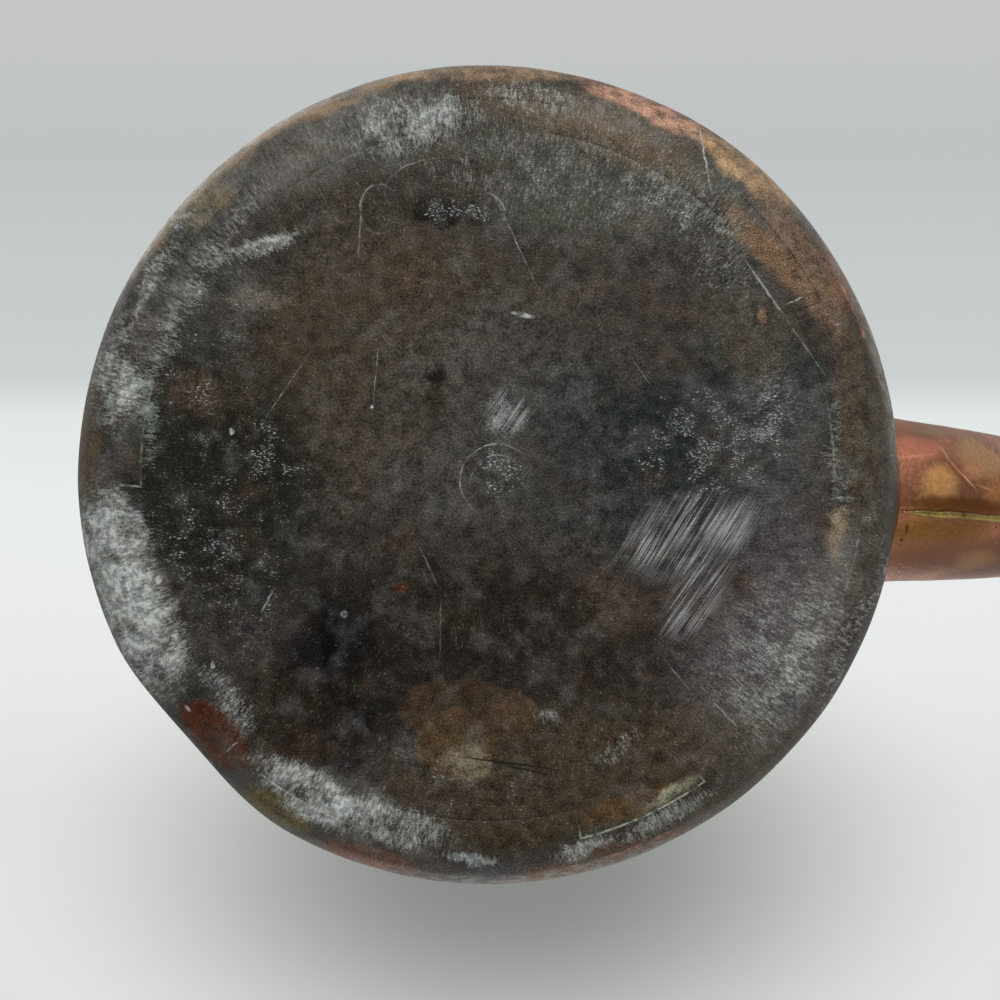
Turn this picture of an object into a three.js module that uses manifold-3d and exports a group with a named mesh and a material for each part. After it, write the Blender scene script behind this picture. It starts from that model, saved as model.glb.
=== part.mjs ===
// Copper fireside kettle with a cramped base, a gooseneck spout, a swing handle and a lift-out lid.
// Millimetres, +Z up. The kettle stands on its base at z = 0, centred on the Z axis, spout towards +X.
import * as THREE from 'three';
import { mergeVertices } from 'three/addons/utils/BufferGeometryUtils.js';
import Module from 'manifold-3d';

const wasm = await Module();
wasm.setup();

// Sheet and clearances
const seatGap = 0.3; // left between pieces that touch
const bodySheet = 1.4;
const spoutSheet = 1.3;
const lidSheet = 1.2;

// Base and wall
const bodyRadius = 120; // widest, where the foot meets the wall
const footHeight = 20;
const footReach = 18; // how far the rounded foot runs in under the body
const wallHeight = 100;
const wallTopRadius = 111;

// Cramped seam between base and wall
const crampCount = 7;
const crampInset = 3.5; // from the foot's inner edge in to the disc's edge between its tabs
const crampDepth = 8.5;
const crampWidth = 34; // a tab at its root
const crampFlare = 2.5; // a tab is this much wider on each side at its tip
const crampTurn = 61.8; // degrees from the spout to the middle of the first tab

// Dent in the foot
const dentDepth = 3;
const dentTurn = 135; // degrees from the spout
const dentHalfAngle = 19;
const dentHeight = 46;

// Shoulder and mouth
const shoulderLap = 8; // the shoulder's skirt over the top of the wall
const shoulderHeight = 50;
const mouthRadius = 46.5; // bore of the collar
const collarWall = 1.5;
const collarHeight = 14; // above the shoulder
const collarDrop = 5; // the collar's spigot below the shoulder's top
const collarFlange = 6;
const collarFillet = 2;
const lipRadius = 2;

// Spout, along its centre line
const spoutRootHeight = 50;
const spoutRootHalfWidth = 28.5;
const spoutRootHalfHeight = 31;
const spoutTipRadius = 13;
const spoutReach = 108; // wall to tip
const spoutRise = 113; // root to tip
const seamTurn = 12; // degrees round the spout from its lowest line
const seamWidth = 2.4;
const seamHeight = 1.2;
const seamStart = 15; // from the wall
const seamStop = 5; // from the tip
const lipWire = 1.4; // radius of the wired edge

// Ears, rivets and pivots
const lugSetback = 23; // from the top of the wall in to a lug's inner face
const lugThickness = 4;
const lugRise = 17; // pivot above the shoulder
const lugEyeRadius = 10;
const lugFootHalfWidth = 13;
const lugShoulder = 0.75; // share of the rise below the pivot at which the lug starts to narrow
const lugWaist = 0.5; // share of the rise at which its sides turn upright
const earPlate = 2.2;
const earPlateLength = 30;
const earPlateWidth = 36;
const rivetInward = 9.9; // the single rivet, from the lug's middle towards the mouth
const rivetOutward = 6.6; // the pair, from the lug's middle towards the wall
const rivetSpread = 10.4; // each of the pair from the ear's middle line
const rivetShank = 2.2;
const rivetHead = 4.2;
const rivetHeadHeight = 2;
const rivetClenchHeight = 1.6; // the head inside
const rivetSeat = 0.75; // a flat head on the curved sheet
const pinRadius = 3.2;
const pinHead = 5.5;
const pinHeadHeight = 3;
const washerRadius = 7;
const washerThickness = 1.2;

// Handle
const eyeRadius = 9;
const eyeThickness = 4.4;
const strapEndThickness = 4;
const strapEndWidth = 15;
const strapThickness = 2.4;
const gripWidth = 28;
const gripCrown = 6;
const gripShare = 0.8; // of the arch's rise at which the strap has its full grip width
const handleLeg = 26; // straight length above each pivot
const archRise = 100;

// Lid and knob
const lidOverhang = 3; // brim past the collar's lip
const lidRise = 20;
const skirtGap = 0.6;
const skirtWall = 1.2;
const skirtDepth = 12;
const steamHole = 1.8;
const steamHoleOffset = 29;
const rosetteRadius = 13;
const rosetteHeight = 3;
const rosetteEdge = 1.2;
const knobRadius = 13;
const knobFoot = 6.5;
const knobFootHeight = 1.2;
const knobNeck = 4.5;
const knobHeight = 34;
const ballFrom = -63; // degrees from the ball's widest line, as is ballTo
const ballTo = 74.5;
const finialHeight = 5;
const finialFrom = -51.5; // degrees from the finial's widest line
const studRadius = 2.5;
const studHead = 4.2;
const studHeadHeight = 2;
const studDepth = 14; // into the knob
const knobWasherRadius = 7;
const knobWasherThickness = 1.2;

// Facets
const bodyFacets = 48;
const lidFacets = 36;
const knobFacets = 20;
const pinFacets = 14;
const rivetFacets = 8;
const spoutSides = 18;
const spoutSteps = 18;
const archSteps = 28;
const domeSteps = 3; // from the rim of a rivet's or pin's head to its crown
const outlineSteps = 5; // along each curve of a flat outline
const weldDistance = 1e-4; // vertices closer than this are one
const shareStep = 0.005; // of the spout's length, when a place on it is searched

const V2 = (x, y) => new THREE.Vector2(x, y);
const V3 = (x, y, z) => new THREE.Vector3(x, y, z);
const radians = THREE.MathUtils.degToRad;
const smooth = THREE.MathUtils.smoothstep;

// Closed meshes, booleans and revolved shapes

// Shared vertices merged, collapsed triangles dropped and faces turned outwards.
function closed(geometry) {
  const bare = geometry.clone();
  bare.deleteAttribute('normal');
  bare.deleteAttribute('uv');
  const merged = mergeVertices(bare, weldDistance);
  const position = merged.attributes.position;
  const index = merged.index.array;
  const kept = [];
  let volume = 0;
  const [a, b, c] = [V3(), V3(), V3()];
  for (let i = 0; i < index.length; i += 3) {
    const [p, q, r] = [index[i], index[i + 1], index[i + 2]];
    if (p === q || q === r || r === p) continue;
    kept.push(p, q, r);
    a.fromBufferAttribute(position, p);
    b.fromBufferAttribute(position, q);
    c.fromBufferAttribute(position, r);
    volume += a.dot(b.cross(c)) / 6;
  }
  merged.setIndex(volume < 0 ? kept.reverse() : kept);
  return merged;
}

function solid(geometry) {
  const shape = closed(geometry);
  return new wasm.Manifold(new wasm.Mesh({
    numProp: 3,
    vertProperties: new Float32Array(shape.attributes.position.array),
    triVerts: new Uint32Array(shape.index.array),
  }));
}

function geometryOf(manifold) {
  const result = manifold.getMesh();
  const geometry = new THREE.BufferGeometry();
  geometry.setAttribute('position', new THREE.BufferAttribute(result.vertProperties, 3));
  geometry.setIndex(new THREE.BufferAttribute(result.triVerts, 1));
  geometry.computeVertexNormals();
  return geometry;
}

// A profile of (radius, height) points turned about the Z axis.
function turned(profile, facets) {
  return closed(new THREE.LatheGeometry(profile, facets).rotateX(Math.PI / 2));
}

// The profile moved to its left by a distance, mitred at its corners.
function offset(profile, distance) {
  const leftOf = (p, q) => V2(p.y - q.y, q.x - p.x).normalize();
  return profile.map((point, i) => {
    const before = i > 0 ? leftOf(profile[i - 1], point) : leftOf(point, profile[i + 1]);
    const after = i < profile.length - 1 ? leftOf(point, profile[i + 1]) : before;
    const mitre = before.clone().add(after).normalize();
    return point.clone().addScaledVector(mitre, distance / mitre.dot(before));
  });
}

// Sheet metal: the band between two offsets of one profile, turned.
function turnedSheet(profile, from, to, facets) {
  const near = offset(profile, from);
  const far = offset(profile, to).reverse();
  return turned([...near, ...far, near[0]], facets);
}

function along(count, pointAt) {
  return Array.from({ length: count + 1 }, (_, i) => pointAt(i / count));
}

// A domed head's profile from its rim to its crown. A negative rise points it downwards.
function headProfile(radius, seat, rise) {
  return along(domeSteps, (t) => {
    const angle = t * Math.PI / 2;
    return V2(radius * Math.cos(angle), seat + rise * Math.sin(angle));
  });
}

// Rings of equal length joined into a closed skin with flat ends.
function loft(rings) {
  const sides = rings[0].length;
  const index = [];
  for (let ring = 0; ring < rings.length - 1; ring += 1) {
    for (let side = 0; side < sides; side += 1) {
      const next = (side + 1) % sides;
      const [p, q] = [ring * sides + side, ring * sides + next];
      index.push(p, q, p + sides, q, q + sides, p + sides);
    }
  }
  for (let end = 0; end < 2; end += 1) {
    const first = end * (rings.length - 1) * sides;
    const flat = rings[end * (rings.length - 1)];
    const [u, v] = endPlane(flat);
    const outline = flat.map((p) => V2(p.dot(u), p.dot(v)));
    for (const [p, q, r] of THREE.ShapeUtils.triangulateShape(outline, [])) {
      index.push(...(end ? [first + p, first + q, first + r] : [first + p, first + r, first + q]));
    }
  }
  const geometry = new THREE.BufferGeometry().setFromPoints(rings.flat());
  geometry.setIndex(index);
  return closed(geometry);
}

// Two directions in the plane of a flat ring, such that the ring runs anticlockwise in them.
function endPlane(ring) {
  const area = V3();
  for (let i = 0; i < ring.length; i += 1) {
    area.add(ring[i].clone().cross(ring[(i + 1) % ring.length]));
  }
  const normal = area.normalize();
  const u = ring[1].clone().sub(ring[0]).normalize();
  return [u, normal.clone().cross(u)];
}

function rod(radius, length, facets) {
  return new THREE.CylinderGeometry(radius, radius, length, facets).rotateX(Math.PI / 2);
}

// A flat outline drawn in the XY plane, from one height to another.
function prism(shape, bottom, top) {
  const settings = { depth: top - bottom, bevelEnabled: false, curveSegments: outlineSteps };
  return new THREE.ExtrudeGeometry(shape, settings).translate(0, 0, bottom);
}

// Materials, coloured from the photograph
const finish = (color, roughness, metalness) =>
  new THREE.MeshStandardMaterial({ color, roughness, metalness });
const sootedCopper = () => finish('#3a3531', 0.72, 0.45);
const agedCopper = () => finish('#8a5a42', 0.48, 0.85);
const agedBrass = () => finish('#9a8048', 0.45, 0.85);

function piece(name, shape, material, parent) {
  const geometry = shape.isBufferGeometry ? shape : geometryOf(shape);
  const mesh = new THREE.Mesh(geometry, material);
  mesh.name = name;
  parent.add(mesh);
  return mesh;
}

const kettle = new THREE.Group();
const body = new THREE.Group();
const frontFittings = new THREE.Group();
const rearFittings = new THREE.Group();
const handle = new THREE.Group();
const lid = new THREE.Group();
kettle.add(body, frontFittings, rearFittings, handle, lid);
rearFittings.rotation.z = Math.PI;

// Base and wall: one raised form, cut along the cramped seam

function wallRadius(height) {
  const share = (height - footHeight) / (wallHeight - footHeight);
  return wallTopRadius + (bodyRadius - wallTopRadius) * Math.cos(share * Math.PI / 2);
}

function bodyProfile() {
  const foot = along(5, (t) => {
    const angle = t * Math.PI / 2;
    return V2(bodyRadius - footReach + footReach * Math.sin(angle), footHeight * (1 - Math.cos(angle)));
  });
  const wall = along(4, (t) => {
    const height = footHeight + (wallHeight - footHeight) * t;
    return V2(wallRadius(height), height);
  });
  return [V2(0, 0), ...foot, ...wall.slice(1)];
}

// The foot pushed in towards the axis, deepest at its middle.
function dented(geometry) {
  const position = geometry.attributes.position;
  const point = V3();
  for (let i = 0; i < position.count; i += 1) {
    point.fromBufferAttribute(position, i);
    const turn = THREE.MathUtils.radToDeg(Math.atan2(point.y, point.x)) - dentTurn;
    const side = Math.min(1, Math.abs(turn) / dentHalfAngle);
    const radius = Math.hypot(point.x, point.y);
    const reach = smooth(radius, bodyRadius - footReach, bodyRadius - footReach / 3);
    const fade = 1 - smooth(point.z, footHeight, dentHeight);
    const push = dentDepth * reach * fade * Math.cos(side * Math.PI / 2) ** 2;
    const scale = radius > 0 ? (radius - push) / radius : 1;
    position.setXYZ(i, point.x * scale, point.y * scale, point.z);
  }
  return geometry;
}

// The outline of the base disc with its tabs, grown by a margin all round.
function crampOutline(margin) {
  const outline = new THREE.Shape();
  const inner = bodyRadius - footReach - crampInset + margin;
  const outer = inner + crampDepth;
  const rootHalf = (crampWidth / 2 + margin) / inner;
  const tipHalf = (crampWidth / 2 + crampFlare + margin) / outer;
  const pitch = 2 * Math.PI / crampCount;
  for (let tab = 0; tab < crampCount; tab += 1) {
    const middle = radians(crampTurn) + tab * pitch;
    const [tipStart, tipEnd] = [middle - tipHalf, middle + tipHalf];
    const nextRoot = middle + pitch - rootHalf;
    if (tab === 0) {
      outline.moveTo(inner * Math.cos(middle - rootHalf), inner * Math.sin(middle - rootHalf));
    }
    outline.lineTo(outer * Math.cos(tipStart), outer * Math.sin(tipStart));
    outline.absarc(0, 0, outer, tipStart, tipEnd, false);
    outline.lineTo(inner * Math.cos(middle + rootHalf), inner * Math.sin(middle + rootHalf));
    outline.absarc(0, 0, inner, middle + rootHalf, nextRoot, false);
  }
  return outline;
}

function crampBlock(margin) {
  return solid(prism(crampOutline(margin), -footHeight / 2, footHeight / 2));
}

const raisedBody = solid(dented(turnedSheet(bodyProfile(), 0, bodySheet, bodyFacets)));

// Spout: oval sections square to a gooseneck centre line in the XZ plane

// Shares of the reach and rise that the spout goes through. Its girth is 1 at the root and 0 at the tip.
const spoutRootX = wallRadius(spoutRootHeight);
const spoutStations = [
  { reach: -0.16, rise: -0.035, girth: 1.15 },
  { reach: 0, rise: 0, girth: 1 },
  { reach: 0.12, rise: 0.04, girth: 0.81 },
  { reach: 0.39, rise: 0.2, girth: 0.66 },
  { reach: 0.6, rise: 0.5, girth: 0.41 },
  { reach: 0.77, rise: 0.82, girth: 0.16 },
  { reach: 1, rise: 1, girth: 0 },
];
const spoutLine = new THREE.CatmullRomCurve3(spoutStations.map(({ reach, rise }) =>
  V3(spoutRootX + spoutReach * reach, 0, spoutRootHeight + spoutRise * rise)), false, 'centripetal');
const spoutGirth = new THREE.CatmullRomCurve3(spoutStations.map(({ girth }) => V3(
  THREE.MathUtils.lerp(spoutTipRadius, spoutRootHalfWidth, girth),
  THREE.MathUtils.lerp(spoutTipRadius, spoutRootHalfHeight, girth),
  0,
)), false, 'catmullrom', 0.3);

// Centre, outward axes and half sizes at a share of the centre line, which may run past its ends.
function spoutSection(share) {
  const inside = THREE.MathUtils.clamp(share, 0, 1);
  const tangent = spoutLine.getTangent(inside);
  const centre = spoutLine.getPoint(inside)
    .addScaledVector(tangent, (share - inside) * spoutReach);
  const girth = spoutGirth.getPoint(inside);
  const up = V3(-tangent.z, 0, tangent.x);
  return { centre, up, tangent, halfWidth: girth.x, halfHeight: girth.y };
}

function spoutRing(share, inset) {
  const { centre, up, halfWidth, halfHeight } = spoutSection(share);
  return Array.from({ length: spoutSides }, (_, i) => {
    const angle = 2 * Math.PI * i / spoutSides;
    return centre.clone()
      .addScaledVector(V3(0, 1, 0), (halfWidth - inset) * Math.sin(angle))
      .addScaledVector(up, -(halfHeight - inset) * Math.cos(angle));
  });
}

// The bore is cut a share of the centre line past each end.
const boreOverrun = 0.03;
const spoutOuter = solid(loft(along(spoutSteps, (t) => spoutRing(t, 0))));
const spoutBore = solid(loft(along(spoutSteps + 2, (t) =>
  spoutRing(THREE.MathUtils.lerp(-boreOverrun, 1 + boreOverrun, t), spoutSheet))));

// The space that the body takes up, with the gap kept round it.
function bodySpace(gap) {
  const skin = offset(bodyProfile(), -gap);
  const top = skin[skin.length - 1];
  return solid(turned([...skin, V2(0, top.y), skin[0]], bodyFacets));
}

piece('base_pan', raisedBody.intersect(crampBlock(-seatGap / 2)), sootedCopper(), body);
piece('body_wall', raisedBody.subtract(crampBlock(seatGap / 2)).subtract(spoutBore), agedCopper(), body);
piece('spout_tube', spoutOuter.subtract(spoutBore).subtract(bodySpace(seatGap)), agedCopper(), body);

// Braze line, a flat bead just off the spout's skin beside its lowest line
function seamRing(share) {
  const { centre, up, halfWidth, halfHeight } = spoutSection(share);
  const turn = radians(seamTurn);
  const sideways = V3(0, 1, 0);
  const outward = V3().addScaledVector(sideways, Math.sin(turn) / halfWidth)
    .addScaledVector(up, -Math.cos(turn) / halfHeight).normalize();
  const across = V3().addScaledVector(sideways, Math.cos(turn)).addScaledVector(up, Math.sin(turn));
  const middle = centre.clone()
    .addScaledVector(sideways, halfWidth * Math.sin(turn))
    .addScaledVector(up, -halfHeight * Math.cos(turn))
    .addScaledVector(outward, seatGap + seamHeight / 2);
  return Array.from({ length: 6 }, (_, i) => {
    const angle = 2 * Math.PI * i / 6;
    return middle.clone()
      .addScaledVector(across, seamWidth / 2 * Math.cos(angle))
      .addScaledVector(outward, seamHeight / 2 * Math.sin(angle));
  });
}

// The share of the centre line at which the spout has come a given way out from the wall.
function spoutShareAt(distance) {
  let share = 0;
  while (share < 1 && spoutSection(share).centre.x < spoutRootX + distance) share += shareStep;
  return share;
}

const seamFrom = spoutShareAt(seamStart);
const seamTo = 1 - seamStop / spoutLine.getLength();
piece('spout_seam', loft(along(spoutSteps, (t) => seamRing(seamFrom + (seamTo - seamFrom) * t))),
  agedBrass(), body);

// Wired edge, a ring round the tip
const tip = spoutSection(1);
const lipRing = new THREE.TorusGeometry(tip.halfWidth + seatGap + lipWire, lipWire, 6, spoutSides);
const spoutLip = piece('spout_lip', closed(lipRing), agedCopper(), body);
spoutLip.position.copy(tip.centre).addScaledVector(tip.tangent, -lipWire);
spoutLip.quaternion.setFromUnitVectors(V3(0, 0, 1), tip.tangent);

// Shoulder: a skirt over the top of the wall, then an elliptical dome up to the mouth

const collarOuter = mouthRadius + collarWall;
const shoulderFoot = wallTopRadius + seatGap + bodySheet;
const shoulderSpan = shoulderFoot - collarOuter;
const shoulderTop = wallHeight + shoulderHeight;

function shoulderZ(radius) {
  return wallHeight + shoulderHeight * Math.sqrt(1 - ((radius - collarOuter) / shoulderSpan) ** 2);
}

function shoulderProfile() {
  const skirt = along(1, (t) => {
    const height = wallHeight - shoulderLap * (1 - t);
    return V2(wallRadius(height) + seatGap + bodySheet, height);
  });
  const lastAngle = Math.acos(seatGap / shoulderSpan);
  const dome = along(7, (t) => {
    const angle = t * lastAngle;
    return V2(collarOuter + shoulderSpan * Math.cos(angle), wallHeight + shoulderHeight * Math.sin(angle));
  });
  return [...skirt, ...dome.slice(1)];
}

// A place on the shoulder's facets and the direction square to it.
function shoulderPose(x, y) {
  const radius = Math.hypot(x, y);
  const profile = shoulderProfile();
  const upper = profile.findIndex((point) => point.x <= radius);
  const [p, q] = [profile[upper - 1], profile[upper]];
  const height = THREE.MathUtils.mapLinear(radius, p.x, q.x, p.y, q.y);
  const slope = (q.y - p.y) / (p.x - q.x);
  return {
    point: V3(x, y, height),
    normal: V3(slope * x / radius, slope * y / radius, 1).normalize(),
  };
}

// Ears: a plate formed to the shoulder, three rivets and an upright lug

const lugInset = wallTopRadius - lugSetback;
const lugMiddle = lugInset + lugThickness / 2;
const pivotHeight = shoulderZ(lugMiddle) + lugRise;
const rivetPlaces = {
  inner: [lugMiddle - rivetInward, 0],
  left: [lugMiddle + rivetOutward, rivetSpread],
  right: [lugMiddle + rivetOutward, -rivetSpread],
};

// A geometry that lies along Z, stood on the shoulder at a rivet's place.
function atRivet(geometry, [x, y]) {
  const { point, normal } = shoulderPose(x, y);
  const turn = new THREE.Quaternion().setFromUnitVectors(V3(0, 0, 1), normal);
  return geometry.applyQuaternion(turn).translate(point.x, point.y, point.z);
}

const rivetHoleLength = 6 * (bodySheet + earPlate);
const rivetHoles = Object.values(rivetPlaces).map((place) =>
  solid(atRivet(rod(rivetShank + seatGap, rivetHoleLength, rivetFacets), place)));

let shoulder = solid(turnedSheet(shoulderProfile(), 0, bodySheet, bodyFacets));
for (const hole of rivetHoles) {
  shoulder = shoulder.subtract(hole).subtract(hole.rotate([0, 0, 180]));
}
piece('shoulder_dome', shoulder, agedCopper(), body);

// An outline drawn with y across and z up, given its thickness along X.
function uprightPlate(shape, from, to) {
  const basis = new THREE.Matrix4().makeBasis(V3(0, 1, 0), V3(0, 0, 1), V3(1, 0, 0));
  return prism(shape, from, to).applyMatrix4(basis);
}

function lugOutline() {
  const outline = new THREE.Shape();
  const shoulderLine = pivotHeight - lugRise * lugShoulder;
  const waistLine = pivotHeight - lugRise * lugWaist;
  outline.moveTo(-lugFootHalfWidth, pivotHeight - 2 * lugRise);
  outline.lineTo(lugFootHalfWidth, pivotHeight - 2 * lugRise);
  outline.lineTo(lugFootHalfWidth, shoulderLine);
  outline.quadraticCurveTo(lugEyeRadius, waistLine, lugEyeRadius, pivotHeight);
  outline.absarc(0, pivotHeight, lugEyeRadius, 0, Math.PI, false);
  outline.quadraticCurveTo(-lugEyeRadius, waistLine, -lugFootHalfWidth, shoulderLine);
  return outline;
}

function earSolid() {
  const footprint = new THREE.Shape();
  footprint.absellipse(lugMiddle, 0, earPlateLength / 2, earPlateWidth / 2, 0, 2 * Math.PI);
  const plateBand = turnedSheet(shoulderProfile(), -seatGap, -seatGap - earPlate, bodyFacets);
  const plate = solid(plateBand).intersect(solid(prism(footprint, wallHeight, pivotHeight)));
  const skin = offset(shoulderProfile(), -seatGap);
  const [foot, rim] = [skin[0], skin[skin.length - 1]];
  const below = solid(turned([V2(0, foot.y), ...skin, V2(0, rim.y), V2(0, foot.y)], bodyFacets));
  const lug = solid(uprightPlate(lugOutline(), lugInset, lugInset + lugThickness)).subtract(below);
  const pinHole = solid(rod(pinRadius + seatGap, 4 * lugThickness, pinFacets)
    .rotateY(Math.PI / 2).translate(lugMiddle, 0, pivotHeight));
  let ear = plate.add(lug).subtract(pinHole);
  for (const hole of rivetHoles) ear = ear.subtract(hole);
  return ear;
}

// Domed head outside, shank through plate and shoulder, clenched head inside.
function rivetGeometry() {
  const outerSeat = seatGap + earPlate + rivetSeat;
  const innerSeat = -bodySheet - rivetSeat;
  return turned([
    ...headProfile(rivetHead, innerSeat, -rivetClenchHeight).reverse(),
    V2(rivetShank, innerSeat),
    V2(rivetShank, outerSeat),
    ...headProfile(rivetHead, outerSeat, rivetHeadHeight),
  ], rivetFacets);
}

// Pivot pin along X: head inside the lug, shank through lug, handle eye and washer, head outside.
const eyeInner = lugInset + lugThickness + seatGap;
const eyeOuter = eyeInner + eyeThickness;
const washerInner = eyeOuter + seatGap;
const washerOuter = washerInner + washerThickness;

function pinGeometry() {
  const innerSeat = lugInset - seatGap;
  const outerSeat = washerOuter + seatGap;
  return turned([
    ...headProfile(pinHead, innerSeat, -pinHeadHeight).reverse(),
    V2(pinRadius, innerSeat),
    V2(pinRadius, outerSeat),
    ...headProfile(pinHead, outerSeat, pinHeadHeight),
  ], pinFacets);
}

function washerGeometry() {
  const hole = pinRadius + seatGap;
  return turned([
    V2(hole, washerInner),
    V2(washerRadius, washerInner),
    V2(washerRadius, washerOuter),
    V2(hole, washerOuter),
    V2(hole, washerInner),
  ], pinFacets);
}

for (const [end, fittings] of [['front', frontFittings], ['rear', rearFittings]]) {
  piece(`${end}_ear`, earSolid(), agedBrass(), fittings);
  for (const [place, spot] of Object.entries(rivetPlaces)) {
    const { point, normal } = shoulderPose(...spot);
    const rivet = piece(`${end}_ear_rivet_${place}`, rivetGeometry(), agedCopper(), fittings);
    rivet.position.copy(point);
    rivet.quaternion.setFromUnitVectors(V3(0, 0, 1), normal);
  }
  const pin = piece(`${end}_pivot_pin`, pinGeometry(), agedBrass(), fittings);
  const washer = piece(`${end}_pivot_washer`, washerGeometry(), agedBrass(), fittings);
  for (const turnedPiece of [pin, washer]) {
    turnedPiece.position.z = pivotHeight;
    turnedPiece.rotation.y = Math.PI / 2;
  }
}

// Mouth collar: spigot in the shoulder's mouth, flange on the shoulder, rolled lip at the top

const lipTop = shoulderTop + collarHeight;

function collarProfile() {
  const flangeOuter = collarOuter + collarFlange;
  const flangeZ = (radius) => shoulderZ(radius) + seatGap;
  const flangeTop = flangeZ(collarOuter) + collarWall;
  const lip = along(3, (t) => {
    const angle = -Math.PI / 2 + t * Math.PI;
    return V2(collarOuter + lipRadius * Math.cos(angle), lipTop - lipRadius + lipRadius * Math.sin(angle));
  });
  return [
    V2(mouthRadius, shoulderTop - collarDrop),
    V2(collarOuter, shoulderTop - collarDrop),
    V2(collarOuter, flangeZ(collarOuter)),
    V2(flangeOuter, flangeZ(flangeOuter)),
    V2(flangeOuter, flangeZ(flangeOuter) + collarWall),
    V2(collarOuter + collarFillet / 2, flangeTop + collarFillet / 2),
    V2(collarOuter, flangeTop + collarFillet),
    ...lip,
    V2(mouthRadius, lipTop),
    V2(mouthRadius, shoulderTop - collarDrop),
  ];
}

piece('mouth_collar', turned(collarProfile(), bodyFacets), agedCopper(), body);

// Handle: a hollow-backed strap bent into an arch, with a flat eye at each end

const archHalfWidth = eyeInner + eyeThickness / 2;

// Centre, outward direction and share of the way from eye (0) to grip (1), from the rear eye to the front.
function handleStations() {
  const leg = (side) => along(2, (t) => ({
    centre: V3(side * archHalfWidth, 0, pivotHeight + handleLeg * t),
    outward: V3(side, 0, 0),
  }));
  const arch = along(archSteps, (t) => {
    const angle = Math.PI * (t - 0.5);
    return {
      centre: V3(archHalfWidth * Math.sin(angle), 0, pivotHeight + handleLeg + archRise * Math.cos(angle)),
      outward: V3(archRise * Math.sin(angle), 0, archHalfWidth * Math.cos(angle)).normalize(),
    };
  });
  return [...leg(-1), ...arch.slice(1, -1), ...leg(1).reverse()];
}

function handleRing({ centre, outward }) {
  const grip = smooth(centre.z - pivotHeight, eyeRadius, handleLeg + archRise * gripShare);
  const width = THREE.MathUtils.lerp(strapEndWidth, gripWidth, grip);
  const thickness = THREE.MathUtils.lerp(strapEndThickness, strapThickness, grip);
  const skin = (lift) => along(4, (t) => {
    const across = 2 * t - 1;
    const crown = gripCrown * grip * (1 - across ** 2);
    return centre.clone()
      .addScaledVector(V3(0, 1, 0), across * width / 2)
      .addScaledVector(outward, crown + lift);
  });
  return [...skin(thickness / 2), ...skin(-thickness / 2).reverse()];
}

let bail = solid(loft(handleStations().map(handleRing)));
for (const side of [-1, 1]) {
  const placed = (geometry) =>
    solid(geometry.rotateY(Math.PI / 2).translate(side * archHalfWidth, 0, pivotHeight));
  bail = bail.add(placed(rod(eyeRadius, eyeThickness, pinFacets)));
  bail = bail.subtract(placed(rod(pinRadius + seatGap, 3 * eyeThickness, pinFacets)));
}
piece('handle_bail', bail, agedCopper(), handle);

// Lid: a domed sheet with a flat brim on the collar's lip, a skirt inside the mouth

const brimZ = lipTop + seatGap;
const skirtOuter = mouthRadius - skirtGap;

// Underside of the lid above the brim's plane at a radius.
function lidZ(radius) {
  return brimZ + lidRise * Math.sqrt(1 - Math.min(1, radius / skirtOuter) ** 2);
}

function lidProfile() {
  const dome = along(6, (t) => {
    const angle = t * Math.PI / 2;
    return V2(skirtOuter * Math.sin(angle), brimZ + lidRise * Math.cos(angle));
  });
  return [...dome, V2(collarOuter + lipRadius + lidOverhang, brimZ)];
}

const studHole = solid(rod(studRadius + seatGap, 4 * lidSheet, rivetFacets).translate(0, 0, lidZ(0)));
const steamDrill = rod(steamHole, lidRise, rivetFacets)
  .translate(-steamHoleOffset, 0, lidZ(steamHoleOffset));
const lidShell = solid(turnedSheet(lidProfile(), 0, lidSheet, lidFacets));
piece('lid_dome', lidShell.subtract(studHole).subtract(solid(steamDrill)), agedCopper(), lid);

piece('lid_skirt', turned([
  V2(skirtOuter - skirtWall, brimZ - seatGap - skirtDepth),
  V2(skirtOuter, brimZ - seatGap - skirtDepth),
  V2(skirtOuter, brimZ - seatGap),
  V2(skirtOuter - skirtWall, brimZ - seatGap),
  V2(skirtOuter - skirtWall, brimZ - seatGap - skirtDepth),
], lidFacets), agedCopper(), lid);

// Knob, its seat, and the stud headed over a burr under the lid

const lidTop = brimZ + lidRise + lidSheet;
const lidTopZ = (radius) => lidZ(radius) + lidSheet;
const knobSeat = lidTop + seatGap + rosetteHeight + seatGap;

function rosetteProfile() {
  const bore = studRadius + seatGap;
  const under = along(4, (t) => {
    const radius = THREE.MathUtils.lerp(bore, rosetteRadius, t);
    return V2(radius, lidTopZ(radius) + seatGap);
  });
  const edge = under[under.length - 1];
  const top = knobSeat - seatGap;
  return [
    ...under,
    V2(rosetteRadius, edge.y + rosetteEdge),
    V2((rosetteRadius + knobFoot) / 2, top - rosetteEdge / 2),
    V2(knobFoot, top),
    V2(bore, top),
    under[0],
  ];
}

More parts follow.
